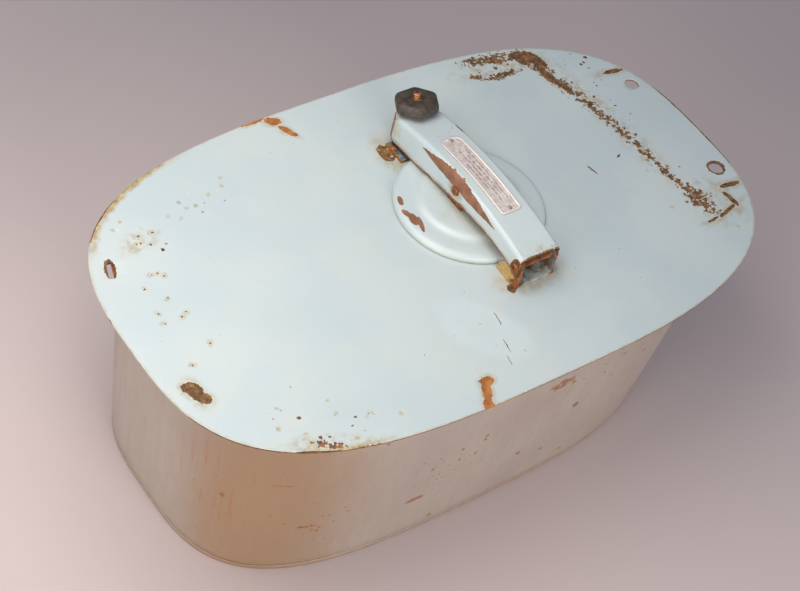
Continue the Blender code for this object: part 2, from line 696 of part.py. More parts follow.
def make_keeper():
    base = PLATE_TOP + GAP
    tread = base + KEEPER_SHEET
    top = PLATE_TOP + KEEPER_TOP
    outer, inner = KEEPER_RISER_OFFSET, KEEPER_RISER_OFFSET - KEEPER_SHEET
    foot = KEEPER_FOOT_OFFSET
    section = [
        (-foot, base), (-inner, base), (-inner, top - KEEPER_SHEET), (inner, top - KEEPER_SHEET),
        (inner, base), (foot, base), (foot, tread), (outer, tread), (outer, top), (-outer, top),
        (-outer, tread), (-foot, tread),
    ]
    section = [(ARM_X + x, z) for x, z in section]
    low = min(KEEPER_FOOT_Y[0], KEEPER_WEB_Y[0])
    high = max(KEEPER_FOOT_Y[1], KEEPER_WEB_Y[1])
    keeper = flat_piece(
        "keeper_bracket", [section], high - low, (RUSTY_STEEL, 0.6, 0.7), across_arm((low + high) / 2)
    )
    reach = 40 * MM
    cut(keeper, box_cutter(
        "keeper_front", (ARM_X - reach, low - MM, tread), (ARM_X + reach, KEEPER_WEB_Y[0], top + MM)
    ))
    for side in (-1, 1):
        near, far = sorted((ARM_X + side * (outer + 0.1 * MM), ARM_X + side * reach))
        low_corner = (near, KEEPER_FOOT_Y[1], base - MM)
        cut(keeper, box_cutter("keeper_heel", low_corner, (far, high + MM, top + MM)))
    slot = KEEPER_SLOT_HALF
    cut(keeper, box_cutter(
        "keeper_slot",
        (ARM_X - slot.x, KEEPER_SLOT_CENTRE_Y - slot.y, top - 2 * KEEPER_SHEET),
        (ARM_X + slot.x, KEEPER_SLOT_CENTRE_Y + slot.y, top + MM),
    ))
    for x, y in KEEPER_RIVETS:
        cut(keeper, round_cutter("keeper_rivet_hole", (x, y, base), RIVET_HOLE, 10 * MM, steps=12))

    head = 2 * GAP + KEEPER_SHEET
    tail = -PLATE_THICKNESS - GAP
    profile = rivet_profile(3.2 * MM, head, head + 2.2 * MM, tail, tail - 1.5 * MM)
    centres = [(x, y, PLATE_TOP) for x, y in KEEPER_RIVETS]
    rivets("keeper_rivet", centres, profile, (RUSTY_STEEL, 0.7, 0.5))


# ---------------------------------------------------------------- bolt and knob
# These are drawn on the knob's own axis, with zero height at the arm's outer face.

def make_clamp_bolt():
    size = T_HEAD_SIZE
    builder = bmesh.new()
    bmesh.ops.create_cube(builder, size=1.0)
    bmesh.ops.scale(builder, vec=size, verts=builder.verts)
    bmesh.ops.translate(builder, vec=(0, 0, T_HEAD_TOP - size.z / 2), verts=builder.verts)
    bolt = add_part("clamp_bolt", finish_mesh(builder, "clamp_bolt"), (BRASS, 0.45, 0.9))
    bevel = bolt.modifiers.new("edges", "BEVEL")
    bevel.width = 0.6 * MM
    bevel.segments = 1
    profile = [(0, BOLT_TIP)]
    profile += [(BOLT_RADIUS * math.sin(a), BOLT_TIP - BOLT_RADIUS * 0.7 * (1 - math.cos(a)))
                for a in (math.radians(d) for d in (30, 60, 90))]
    profile += [(BOLT_RADIUS, T_HEAD_TOP - size.z / 2), (0, T_HEAD_TOP - size.z / 2)]
    shank = turned("bolt_shank", profile, (BRASS, 0.45, 0.9), steps=24)
    cut(bolt, hide_cutter(shank), "UNION")
    return bolt, shank


def knob_ring(radius, height, lobe):
    """A round outline whose radius swells once for each lobe of the knob."""
    count = KNOB_LOBES * 10
    points = []
    for i in range(count):
        angle = 2 * math.pi * i / count
        swell = 1 + lobe * math.cos(KNOB_LOBES * angle)
        points.append(Vector((radius * swell * math.cos(angle), radius * swell * math.sin(angle), height)))
    return points


def make_knob():
    washer = [
        (WASHER_RADIUS, 2 * MM), (WASHER_RADIUS, 0.4 * MM),
        (BOLT_RADIUS + 0.6 * MM, 0.4 * MM), (BOLT_RADIUS + 0.6 * MM, 2 * MM),
    ]
    washer_part = turned("thrust_washer", washer, (BARE_STEEL, 0.5, 0.9), steps=24, ring=True)

    body = [
        (KNOB_BORE, 2.3, 0), (12, 2.3, 0), (12, 3.6, 0), (18.6, 4.2, KNOB_LOBE), (19.6, 5.2, KNOB_LOBE),
        (20, 8.5, KNOB_LOBE), (19.6, 12.2, KNOB_LOBE), (18.4, 14.4, KNOB_LOBE * 0.9),
        (16, 15.3, KNOB_LOBE * 0.7), (8, 15.6, 0), (KNOB_BORE, 15.6, 0),
    ]
    scale = KNOB_RADIUS / (20 * MM)
    rings = []
    for radius, height, lobe in body:
        size = KNOB_BORE if radius == KNOB_BORE else radius * MM * scale
        rings.append(knob_ring(size, height * MM, lobe))
    knob = loft("knob", rings, (BLACK_BAKELITE, 0.4, 0.0), True)

    bore = BOLT_RADIUS + 0.35 * MM
    rim = KNOB_BORE - GAP
    low, high = 2.3 * MM, 16.6 * MM
    insert = [(rim - 0.6 * MM, high), (rim, high - 0.5 * MM), (rim, low), (bore, low), (bore, high)]
    insert_part = turned("knob_insert", insert, (BRASS, 0.45, 0.9), steps=24, ring=True)
    return washer_part, knob, insert_part


# ---------------------------------------------------------------- assembly

def axis_empty(name, place, tilt=0.0, parent=None):
    """An empty that marks a joint's axis; pieces that turn on it are its children."""
    empty = bpy.data.objects.new(name, None)
    PARTS.objects.link(empty)
    empty.empty_display_size = 0.02
    empty.location = place
    empty.rotation_euler = (-tilt, 0, 0)
    bpy.context.view_layer.update()
    if parent:
        hang(empty, parent)
    return empty


def hang(piece, parent):
    """Parent a piece without moving it."""
    bpy.context.view_layer.update()
    piece.parent = parent
    piece.matrix_parent_inverse = parent.matrix_world.inverted()


def build():
    make_tub()
    make_top_plate()
    make_hatch_neck()
    make_hatch_cap()
    make_cap_saddle()
    cross_pin("cap_pivot_pin", CAP_PIVOT, CAP_PIVOT_RADIUS, 4.4 * MM, 1.8 * MM, 0, (RUSTY_STEEL, 0.6, 0.6))
    make_clamp_arm()
    make_nameplate()
    make_hinge()
    make_keeper()

    knob_axis = axis_empty("knob_axis", KNOB_FOOT, KNOB_TILT)
    for piece in (*make_clamp_bolt(), *make_knob()):
        piece.parent = knob_axis

    arm_axis = axis_empty("arm_axis", HINGE_PIVOT)
    arm_pieces = ("clamp_arm", "nameplate", "nameplate_rivet_1", "nameplate_rivet_2", "cap_pivot_pin")
    for name in arm_pieces:
        hang(bpy.data.objects[name], arm_axis)
    hang(knob_axis, arm_axis)
    cap_axis = axis_empty("cap_axis", CAP_PIVOT, parent=arm_axis)
    cap_pieces = ("hatch_cap", "hatch_gasket", "hatch_spigot", "cap_saddle", "cap_saddle_rivet_1",
                  "cap_saddle_rivet_2")
    for name in cap_pieces:
        hang(bpy.data.objects[name], cap_axis)


build()
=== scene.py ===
"""Looks of the clamped-hatch tub: fine surfaces, worn paint and rust, soft light and the camera.

Lengths are in millimetres until they reach Blender, in the frame of the CAD model: +Z up,
+X along the tub, +Y towards the knob, and zero on the ground under the middle of the top plate.
"""
import json
from functools import reduce
from math import asin, copysign, cos, exp, hypot, pi, radians, sin

import bmesh
import bpy
from mathutils import Matrix, Quaternion, Vector, noise

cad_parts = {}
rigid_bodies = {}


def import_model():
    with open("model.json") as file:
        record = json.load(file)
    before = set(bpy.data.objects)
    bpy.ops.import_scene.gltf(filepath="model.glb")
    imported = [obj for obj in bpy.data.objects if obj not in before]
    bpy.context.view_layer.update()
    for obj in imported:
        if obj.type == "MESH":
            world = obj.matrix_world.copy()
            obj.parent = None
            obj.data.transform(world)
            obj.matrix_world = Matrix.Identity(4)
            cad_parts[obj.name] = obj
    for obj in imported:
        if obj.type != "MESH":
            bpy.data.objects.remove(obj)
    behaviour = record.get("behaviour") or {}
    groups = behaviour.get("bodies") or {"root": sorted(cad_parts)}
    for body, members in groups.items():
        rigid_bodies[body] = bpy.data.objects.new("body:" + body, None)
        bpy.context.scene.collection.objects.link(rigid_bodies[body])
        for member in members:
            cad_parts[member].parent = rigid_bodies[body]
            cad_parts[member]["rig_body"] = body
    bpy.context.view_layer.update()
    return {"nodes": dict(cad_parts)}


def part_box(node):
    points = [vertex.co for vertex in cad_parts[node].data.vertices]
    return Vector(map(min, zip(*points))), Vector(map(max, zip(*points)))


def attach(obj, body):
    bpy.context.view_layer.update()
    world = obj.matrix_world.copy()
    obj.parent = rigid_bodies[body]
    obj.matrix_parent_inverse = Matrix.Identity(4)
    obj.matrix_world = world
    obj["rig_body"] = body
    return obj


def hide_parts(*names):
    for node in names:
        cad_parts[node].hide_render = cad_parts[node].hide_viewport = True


for item in list(bpy.data.objects):
    bpy.data.objects.remove(item, do_unlink=True)

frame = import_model()

MM = 0.001
GAP = 0.3


def box_mm(node):
    low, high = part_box(node)
    return low / MM, high / MM


# ---- sizes

PLATE_LOW, PLATE_HIGH = box_mm("top_plate")
PLATE_TOP = PLATE_HIGH.z
PLATE_THICKNESS = PLATE_HIGH.z - PLATE_LOW.z
PLATE_HALF = Vector((PLATE_HIGH.x, PLATE_HIGH.y))
PLATE_EXPONENT = 3.07
FIXING_HOLES = ((290, 75, 14.4, 14.4, 0), (293, -51, 14.4, 14.4, 0), (-284, 81, 6.6, 18, -20))

PAN_RIM = box_mm("tub_bottom")[1].z
PAN_SHEET = 1.5
WALL_SHEET = 1.5
TUB_TOP_HALF, TUB_TOP_CENTRE = Vector((284, 168)), -5
TUB_BASE_HALF, TUB_BASE_CENTRE = Vector((263, 147)), -13
TUB_EXPONENT = 3.28

CAP_LOW, CAP_HIGH = box_mm("hatch_cap")
HATCH = Vector(((CAP_LOW.x + CAP_HIGH.x) / 2, (CAP_LOW.y + CAP_HIGH.y) / 2))
HATCH_OPENING = 55
CAP_SHEET = 1.2

ARM_X = HATCH.x
ARM_HALF_WIDTH = 21.75
ARM_SHEET = 1.6
ARM_FOLD = 4.5
ARM_OPEN_Y = -86
ARM_ROUND_Y = 100
ARM_PEAK = PLATE_TOP + 45
ARM_ARCH_RADIUS = 400
ARM_EDGE_MARKS = ((-80, 14), (-40, 20.5), (30, 15.4), (112, 6.4))

HINGE_PIVOT = Vector((ARM_X, -80.6, PLATE_TOP + 21))
CAP_PIVOT = Vector((ARM_X, 11.5, PLATE_TOP + 29))
KEEPER_Y = 94
KNOB_Y = 105
KNOB_LOBES = 6
STUD_RADIUS = 4
STUD_LOW, STUD_HIGH = -24.0, 19.6
STUD_DOME = 1.4
THREAD_PITCH = 1.5
THREAD_DEPTH = 0.75
T_HEAD_SIZE = Vector((7, 16, 4))
T_HEAD_MIDDLE = -24.8
HINGE_BORE, CAP_PIN_BORE, STUD_BORE = 7, 5.8, 10.8
NAMEPLATE_HALF_WIDTH, NAMEPLATE_NEAR_Y, NAMEPLATE_FAR_Y = 11, -40, 57
NAMEPLATE_NEAR_RADIUS, NAMEPLATE_FAR_RADIUS = 3.2, 7
NAMEPLATE_SHEET = 0.4
NAMEPLATE_SIDE_STEPS = (29, 3, 29, 5)

ROUND = 240


def arm_top(y):
    """Height of the arm's outer face."""
    return ARM_PEAK - (y - HATCH.y) ** 2 / (2 * ARM_ARCH_RADIUS)


def arm_edge(y):
    """Height of the lower edge of the arm's flanges, a cubic through four marks."""
    height = 0.0
    for mark, value in ARM_EDGE_MARKS:
        term = value
        for other, _ in ARM_EDGE_MARKS:
            if other != mark:
                term *= (y - other) / (mark - other)
        height += term
    return PLATE_TOP + height


KNOB_TILT = asin((KNOB_Y - HATCH.y) / ARM_ARCH_RADIUS)
KNOB_PLACE = Matrix.Translation((ARM_X, KNOB_Y, arm_top(KNOB_Y))) @ Matrix.Rotation(-KNOB_TILT, 4, "X")


# ---- material helpers

def tone(red, green, blue):
    """A colour given in 0 to 255 steps, as the linear values that shaders take."""
    linear = []
    for step in (red, green, blue):
        share = step / 255
        linear.append(share / 12.92 if share <= 0.04045 else ((share + 0.055) / 1.055) ** 2.4)
    return (*linear, 1.0)


def calculation(name):
    """A method of Field that makes one Math node."""
    def method(field, *others):
        node = field.look.add("Math", operation=name)
        for socket, value in zip(node.inputs, (field, *others)):
            field.look.feed(socket, value)
        return Field(field.look, node.outputs[0])
    return method


class Field:
    """A number that varies over a surface, so that patterns read as formulas."""

    def __init__(self, look, socket):
        self.look = look
        self.socket = socket

    __add__ = __radd__ = calculation("ADD")
    __sub__ = calculation("SUBTRACT")
    __mul__ = __rmul__ = calculation("MULTIPLY")
    __truediv__ = calculation("DIVIDE")
    __pow__ = calculation("POWER")
    __abs__ = calculation("ABSOLUTE")
    least = calculation("MINIMUM")
    most = calculation("MAXIMUM")
    below = calculation("LESS_THAN")

    def __rsub__(self, other):
        return self * -1 + other

    def rise(self, low, high, first=0.0, last=1.0):
        """Smoothly from first, at low, to last, at high."""
        node = self.look.add("MapRange", interpolation_type="SMOOTHSTEP")
        self.look.fill(node, Value=self, From_Min=low, From_Max=high, To_Min=first, To_Max=last)
        return Field(self.look, node.outputs[0])

    def fall(self, low, high):
        """Smoothly from 1 at low to 0 at high."""
        return self.rise(low, high, 1.0, 0.0)


class Look:
    """A node material with patterns in millimetres, in the frame of the CAD model."""

    def __init__(self, name, **sockets):
        self.material = bpy.data.materials.new(name)
        self.material.use_nodes = True
        self.tree = self.material.node_tree
        self.shader = self.tree.nodes["Principled BSDF"]
        self.fill(self.shader, **sockets)
        coordinates = self.add("TexCoord").outputs["Object"]
        self.place = self.vector("SCALE", coordinates, Scale=1 / MM)
        self.x, self.y, self.z = self.split(self.place)

    def add(self, kind, **settings):
        node = self.tree.nodes.new("ShaderNode" + kind)
        for key, value in settings.items():
            setattr(node, key, value)
        return node

    def feed(self, socket, value):
        if isinstance(value, Field):
            value = value.socket
        if isinstance(value, bpy.types.NodeSocket):
            self.tree.links.new(value, socket)
        else:
            socket.default_value = value

    def fill(self, node, **named):
        """Feed the inputs of these names, in which an underscore stands for a space."""
        for name, value in named.items():
            self.feed(node.inputs[name.replace("_", " ")], value)

    def vector(self, operation, first, second=None, **named):
        node = self.add("VectorMath", operation=operation)
        self.feed(node.inputs[0], first)
        if second is not None:
            self.feed(node.inputs[1], second)
        self.fill(node, **named)
        return node.outputs["Value" if operation in ("LENGTH", "DISTANCE") else "Vector"]

    def split(self, triple):
        """The three parts of a place or a colour, as fields."""
        node = self.add("SeparateXYZ")
        self.feed(node.inputs[0], triple)
        return [Field(self, output) for output in node.outputs]

    def flat(self, place):
        """A place brought down to the height zero."""
        return self.vector("MULTIPLY", place, (1, 1, 0))

    def noise(self, size, detail=3.0, roughness=0.5, stretch=None):
        """Cloudy values round 0.5, in lumps of about this size."""
        place = self.place
        if stretch:
            place = self.vector("MULTIPLY", place, stretch)
        node = self.add("TexNoise")
        self.fill(node, Vector=place, Scale=1 / size, Detail=detail, Roughness=roughness)
        return Field(self, node.outputs[0])

    def ragged(self, place, size, reach):
        """A place shaken by up to about half of reach, which makes outlines uneven."""
        node = self.add("TexNoise")
        self.fill(node, Vector=place, Scale=1 / size, Detail=4.0, Roughness=0.65)
        centred = self.vector("SUBTRACT", node.outputs[1], (0.5, 0.5, 0.5))
        return self.vector("ADD", place, self.vector("SCALE", centred, Scale=reach))

    def specks(self, size, share, place=None):
        """Scattered round specks, larger and smaller, in this share of the cells of this size."""
        node = self.add("TexVoronoi")
        self.fill(node, Vector=place or self.place, Scale=1 / size)
        lot, girth, _ = self.split(node.outputs["Color"])
        chosen = lot.below(share)
        reach = girth * 0.28 + 0.1
        return (Field(self, node.outputs["Distance"]) / reach).fall(0.75, 1.1) * chosen

    def patch(self, centre, half, turn=0.0, place=None):
        """Distance from an ellipse's centre, 1 on its outline; turn is in degrees."""
        node = self.add("Mapping", vector_type="TEXTURE")
        centre, half = (*centre, 0)[:3], (*half, 1e4)[:3]
        rotation = (0, 0, radians(turn))
        self.fill(node, Vector=place or self.place, Location=centre, Rotation=rotation, Scale=half)
        return Field(self, self.vector("LENGTH", node.outputs[0]))

    def patches(self, shapes, place=None):
        """The least of the distances from several ellipses, each (x, y, half x, half y, turn if any)."""
        return reduce(Field.least, (
            self.patch(shape[:2], shape[2:4], *shape[4:], place=place) for shape in shapes
        ))

    def nearest(self, spots, place):
        """Distance from a flattened place to the nearest of these points."""
        return reduce(Field.least, (
            Field(self, self.vector("DISTANCE", place, (x, y, 0))) for x, y in spots
        ))

    def mix(self, share, first, second):
        node = self.add("Mix", data_type="RGBA")
        self.feed(node.inputs[0], share)
        self.feed(node.inputs[6], first)
        self.feed(node.inputs[7], second)
        return node.outputs[2]

    def ramp(self, value, stops):
        node = self.add("ValToRGB")
        elements = node.color_ramp.elements
        while len(elements) < len(stops):
            elements.new(0.5)
        for element, (position, colour) in zip(elements, stops):
            element.position = position
            element.color = colour
        self.feed(node.inputs[0], value)
        return node.outputs[0]

    def finish(self, colour, roughness, height, metallic=None, relief=1.0):
        """Connect the results; height, in millimetres, is scaled by relief."""
        self.fill(self.shader, Base_Color=colour, Roughness=roughness)
        if metallic is not None:
            self.fill(self.shader, Metallic=metallic)
        bump = self.add("Bump")
        self.fill(bump, Strength=relief, Distance=MM, Height=height)
        self.fill(self.shader, Normal=bump.outputs[0])
        return self.material


def rust_colour(look):
    """Old rust, from nearly black to a pale brown."""
    grain = look.noise(5.0, detail=6, roughness=0.7)
    return look.ramp(grain, (
        (0.28, tone(54, 42, 30)),
        (0.45, tone(94, 68, 42)),
        (0.58, tone(140, 96, 54)),
        (0.74, tone(178, 136, 82)),
    ))


def enamel(name, rust_of, stain_and_shade_of, fresh_of, fresh=(tone(130, 88, 64), tone(156, 108, 82))):
    """Pale blue paint, stained and rusted through.

    The three functions take the look and give shares from 0 to 1: of rust, of stain (on the cap, stain
    and a painted shade along the arm), and of the rust that is young and even, in the two colours called
    fresh.
    """
    look = Look(name, Specular_IOR_Level=0.5, Coat_Weight=0.12, Coat_Roughness=0.25)
    rust, stain = rust_of(look), stain_and_shade_of(look)
    cloud = look.noise(120, detail=3)
    paint = look.mix(cloud.rise(0.35, 0.65), tone(192, 204, 205), tone(200, 209, 207))
    paint = look.mix(look.noise(26, detail=4).rise(0.5, 0.75) * 0.35, paint, tone(206, 209, 199))
    dust = look.noise(2.4, detail=3, roughness=0.7).rise(0.6, 0.85)
    paint = look.mix(dust * 0.22, paint, tone(150, 150, 140))
    # Painted sheen: a paler, bluish-white oval painted over the dent in the plate's top.
    dent_sheen = look.patch(DENT_SHEEN_CENTRE, DENT_SHEEN_HALF, 26, look.ragged(look.place, 30, 12)).fall(0.75, 1.15)
    paint = look.mix(dent_sheen * 0.2, paint, tone(226, 236, 238))
    mottle = look.noise(7, detail=5, roughness=0.7)
    stained = look.mix(mottle.rise(0.3, 0.7), tone(198, 184, 136), tone(146, 112, 62))
    paint = look.mix(stain, paint, stained)
    rusty = rust_colour(look)
    even = look.mix(look.noise(9, detail=5).rise(0.35, 0.65), *fresh)
    rusty = look.mix(fresh_of(look), rusty, even)
    lip = rust.rise(0.02, 0.3) * rust.fall(0.3, 0.6)
    paint = look.mix(lip * 0.5, paint, tone(224, 222, 206))
    colour = look.mix(rust.rise(0.35, 0.65), paint, rusty)
    grain = look.noise(1.6, detail=4, roughness=0.75)
    height = grain * 0.25 + look.noise(14, detail=2) * 0.4
    roughness = look.noise(18, detail=4) * 0.14 + 0.27 + rust * 0.45 + stain * 0.2
    return look.finish(colour, roughness, height, relief=rust * 0.75 + 0.1)


def neck_rust(look):
    return (look.z + look.noise(8, detail=4) * 4).fall(PLATE_TOP - 3, PLATE_TOP - 1.5)


def neck_stain(look):
    return look.noise(9, detail=5, roughness=0.65).rise(0.45, 0.7) * 0.6


# ---- the plate's wear, and a painted sheen over its dent

DENT_SHEEN_CENTRE = (-31, -113)
DENT_SHEEN_HALF = (27, 47, 4000)
LEFT_SPOTS = (
    (-251, 15), (-273, 23), (-273, 11), (-250.5, -22.5), (-275, -36), (-250.6, 62), (-257, 35),
    (-270, 51), (-246, 97), (-232, 104), (-247, 57), (-256, 62.5), (-251, 98), (-256.5, 12),
)
LEFT_FAINT_SPOTS = (
    (-260, 120), (-250, 128), (-191, 115), (-181, 115), (-164, 122), (-144, 135), (-148, 126),
    (-193, 124), (-210, 115), (-200, 108), (-238, -105), (-195, -115), (-197, -130), (-171, -142),
    (-148, -155), (-177, -144), (-230, -137), (-247, -121), (226, -25), (219, -72), (261, -120),
)
SOLID_RUST = (
    (-287, -61, 6.5, 13, 6), (-292, -54, 4.5, 5), (-283, -70, 5, 6),
    (-64, -160, 7, 5), (-70, -168, 4.5, 12, -25), (-77, -181, 5, 7, -20),
    (-80, 183, 13, 3), (-63, 176, 8, 5, -30), (-57, 160, 3.5, 11, 25),
    (213, 151, 9, 6, 20), (221, 142, 6.5, 14, 14), (218, 120, 4.5, 15, 5), (224, 99, 3.5, 11, 15),
    (206, 156, 8, 4, -10), (205, 147, 3, 7, 20),
)
RUST_LINES = (
    (284, 97.6, 13, 3.2, -8), (290, -73.6, 13, 3.4, -6), (279, -88, 3.2, 12, 5),
    (266, -99, 16, 2.4, 16), (245, -102, 9, 1.6, 5), (178.7, -2, 1.0, 8, 12), (214, 2, 3, 1.2, 20),
    (-24, -136, 0.5, 8, -12), (-13, -108, 0.5, 9, -10), (-32, -150, 0.4, 6, -12),
)


def rim_share(look):
    """How near a point is to the plate's edge: 1 on the edge, 0 in the middle."""
    across = abs(look.x / PLATE_HALF.x) ** PLATE_EXPONENT
    along = abs(look.y / PLATE_HALF.y) ** PLATE_EXPONENT
    return (across + along) ** (1 / PLATE_EXPONENT)


def plate_rust_and_edge_shade(look):
    shaken = look.ragged(look.place, 5, 5)
    plan = look.flat(shaken)
    crumbs = look.noise(5.2, detail=5, roughness=0.7)
    rust = look.nearest(LEFT_SPOTS, plan).fall(0.2, 2.4) * 0.7
    flecks = look.patches((
        (-242, 98, 34, 24), (-186, 118, 44, 14, -8), (262, 120, 28, 34), (-212, -136, 60, 24, -28),
    ))
    rust = rust.most(look.specks(6, 0.28, shaken) * flecks.fall(0.5, 1.2))
    rust = rust.most((look.patches(SOLID_RUST, shaken) + crumbs * 0.8 - 0.4).fall(0.8, 1.15))
    lines = look.patches(RUST_LINES, look.ragged(look.place, 4, 3)) + crumbs * 0.9 - 0.4
    rust = rust.most(lines.fall(0.7, 1.2) * 0.9)

    bend = look.y.most(0) ** 2 * 0.0008
    off_line = abs(look.x + look.y * 0.08 + bend - 241)
    reach = look.y * 0.03 + 8
    ends = look.y.rise(-105, -60) * look.y.fall(140, 165)
    band = (off_line / reach).fall(0.0, 1.7) * ends
    rust = rust.most((crumbs + band * 0.27).rise(0.655, 0.815))
    wing = look.patches((
        (180, 161, 44, 11, -12), (178, 138, 30, 7, -4), (152, 145, 16, 6, -35), (212, 148, 16, 20, 10),
        (250, -76, 16, 30, 10), (-218, -155, 24, 5, -33), (-186, -173, 26, 4, -18),
    ))
    rust = rust.most((crumbs + wing.fall(0.2, 1.3) * 0.27).rise(0.62, 0.78))
    scatter = look.patch((246, 35), (24, 130), 3).fall(0.3, 1.1)
    scatter = scatter.most(look.patch((180, 152), (56, 18), -8).fall(0.4, 1.1))
    rust = rust.most(look.specks(6.5, 0.42, shaken) * scatter)

    holes = look.nearest([(x, y) for x, y, *_ in FIXING_HOLES[:2]], plan)
    rust = rust.most((holes + crumbs * 6 + look.y * 0.02).fall(10.6, 11.8))
    slot_x, slot_y, _, _, slot_turn = FIXING_HOLES[2]
    around = look.patch((slot_x, slot_y + 2), (5.2, 11), slot_turn, shaken)
    rust = rust.most(around.fall(0.85, 1.15))

    rim = rim_share(look)
    uneven = look.noise(22, detail=4) * 0.012
    worn = look.patches(((-262, 130, 30, 34), (309, 6, 12, 60), (-215, -140, 40, 22, 35)))
    rust = rust.most((rim + uneven + worn.fall(0.6, 1.3) * 0.006).rise(1.006, 1.0095))
    # Painted shade in part: the plate's side face is rusted dark all round, which also stands for the
    # shade under its edge; at the near left end it is left pale.
    side = look.z.fall(PLATE_TOP - 1.2, PLATE_TOP - 0.6) * rim.rise(0.9, 0.95)
    clean_side = look.patch((-312, 0), (60, 84)).rise(0.85, 1.05)
    rust = rust.most(side * clean_side)
    feet = look.patches((
        (ARM_X - 31, KEEPER_Y + 4, 8, 12), (ARM_X + 25, KEEPER_Y, 5, 13),
        (ARM_X, -79, 24, 8), (ARM_X - 23, -86, 5, 5),
    ), shaken)
    return rust.most((crumbs * 0.6 + feet.fall(0.8, 1.35) * 0.4).rise(0.58, 0.68))


def plate_fresh(look):
    """Where the plate's rust is young and orange."""
    return look.patches(((-70, -170, 24, 26), (-66, 172, 34, 26))).fall(0.8, 1.1)


def plate_stain(look):
    shaken = look.ragged(look.place, 14, 12)
    plan = look.flat(shaken)
    mottle = look.noise(9, detail=5, roughness=0.65)
    stain = look.nearest(LEFT_SPOTS, plan).fall(1.0, 4.4) * 0.6
    stain = stain.most(look.nearest(LEFT_FAINT_SPOTS, plan).fall(0.4, 3.0) * 0.65)
    stain = stain.most(look.patches(SOLID_RUST, shaken).fall(0.9, 1.9) * 0.45)
    stain = stain.most(look.patches(RUST_LINES[:5], shaken).fall(0.9, 2.6) * 0.5)
    feet = look.patches((
        (ARM_X - 27, KEEPER_Y, 14, 24), (ARM_X + 25, KEEPER_Y, 12, 20), (ARM_X, -80, 32, 16),
    ), shaken)
    stain = stain.most(feet.fall(0.6, 1.5) * 0.5)
    wear = look.patches((
        (-210, -156, 50, 9, -25), (182, 152, 58, 20, -6), (262, -84, 26, 40, 10),
        (238, 40, 15, 110, 4), (-246, 100, 24, 14, 20),
    ), shaken).fall(0.4, 1.2)
    stain = stain.most(wear * mottle.rise(0.4, 0.68) * 0.75)
    rim = rim_share(look)
    stain = stain.most((rim + mottle * 0.012).rise(0.996, 1.006) * 0.4)
    edge = look.patches(((-240, 150, 90, 70), (-205, -150, 50, 26, -20))).fall(0.5, 1.1)
    return stain.most((rim + mottle * 0.05).rise(0.994, 1.02) * edge)


def cap_rust(look):
    shaken = look.ragged(look.place, 5, 1.4)
    chips = look.patches((
        (-16.6, 38, 2.4, 5.8, -20), (-20.2, 22, 2.6, 6.5, 12), (-18.8, 14, 4.0, 7.5, -8),
        (-16.4, 6, 2.2, 9.5, -18),
    ), shaken).fall(0.9, 1.1)
    foot = look.z.fall(PLATE_TOP + 0.7, PLATE_TOP + 1.4)
    return chips.most(foot * 0.7)


def cap_stain_and_shade(look):
    shaken = look.ragged(look.place, 9, 6)
    # Painted shade: a brownish band stained onto the cap along the arm's near side, where the arm shades
    # it.
    shade = look.patch((ARM_X - 17, 4), (9, 62), 0, shaken).fall(0.4, 1.3) * 0.35
    skirt = look.z.fall(PLATE_TOP + 1.5, PLATE_TOP + 4) * 0.35
    clouds = look.noise(22, detail=4).rise(0.52, 0.75) * 0.16
    return shade.most(skirt).most(clouds)


def arm_rust(look):
    shaken = look.ragged(look.place, 9, 4)
    _, wavy_y, wavy_z = look.split(shaken)
    drop = wavy_z - arm_top(look.y)
    lens = abs(drop + 6.8) / 6.8 + ((wavy_y - 10) / 57) ** 2
    streak = lens.fall(0.9, 1.06) * look.x.fall(ARM_X - 17.5, ARM_X - 15.5)
    crumbs = look.noise(4, detail=4, roughness=0.65)
    mouth = look.y.fall(-85.6, -82.5) * 0.36
    rim = (crumbs * 0.5 + mouth).rise(0.5, 0.58)
    lip = (look.z - arm_edge(look.y) + look.noise(12, detail=4) * 5).fall(3.8, 5.2)
    pivot = look.patch(CAP_PIVOT, (40, 6.2, 6.2), 0, shaken).fall(0.8, 1.15)
    corner = look.patch((ARM_X - 22, -82, PLATE_TOP + 20), (5, 7, 12), 0, shaken).fall(0.7, 1.2)
    far = look.patch((ARM_X + 20, 66, arm_top(66)), (2.5, 9, 4), 0, shaken).fall(0.7, 1.1)
    off_middle = abs(look.x - ARM_X)
    depth = arm_top(look.y) - look.z - (off_middle - 15).most(0) * 0.25
    inside = depth.rise(1.2, 1.4) * off_middle.fall(20.15, 20.4)
    return streak.most(rim).most(lip * 0.9).most(pivot * 0.9).most(corner).most(far).most(inside * 0.9)


def arm_stain(look):
    mottle = look.noise(8, detail=5, roughness=0.65)
    tip = look.patch((ARM_X - 19, 108, 246), (10, 14, 14)).fall(0.5, 1.2) * 0.45
    hinge = look.y.fall(-84, -70) * mottle.rise(0.42, 0.7) * 0.5
    pivot = look.patch(CAP_PIVOT, (40, 10, 9)).fall(0.6, 1.4) * 0.8
    ring = abs(look.patch((ARM_X, KNOB_Y - 22, arm_top(KNOB_Y - 22)), (19, 19, 30)) - 1).fall(0.0, 0.05)
    score = ring * look.y.fall(KNOB_Y - 34, KNOB_Y - 30) * mottle.rise(0.45, 0.6) * 0.5
    edge = (look.z - arm_edge(look.y) + mottle * 6).fall(5.0, 9.0) * 0.6
    return tip.most(hinge).most(pivot).most(score).most(edge)


# ---- other materials

WALL_MARKS = (
    ((150, -160, 207), (30, 30, 8)), ((39, -161, 160), (22, 30, 12)), ((-205, -150, 72), (24, 30, 5)),
    ((-236, -140, 140), (18, 30, 3)), ((-95, -155, 62), (20, 30, 5)),
)


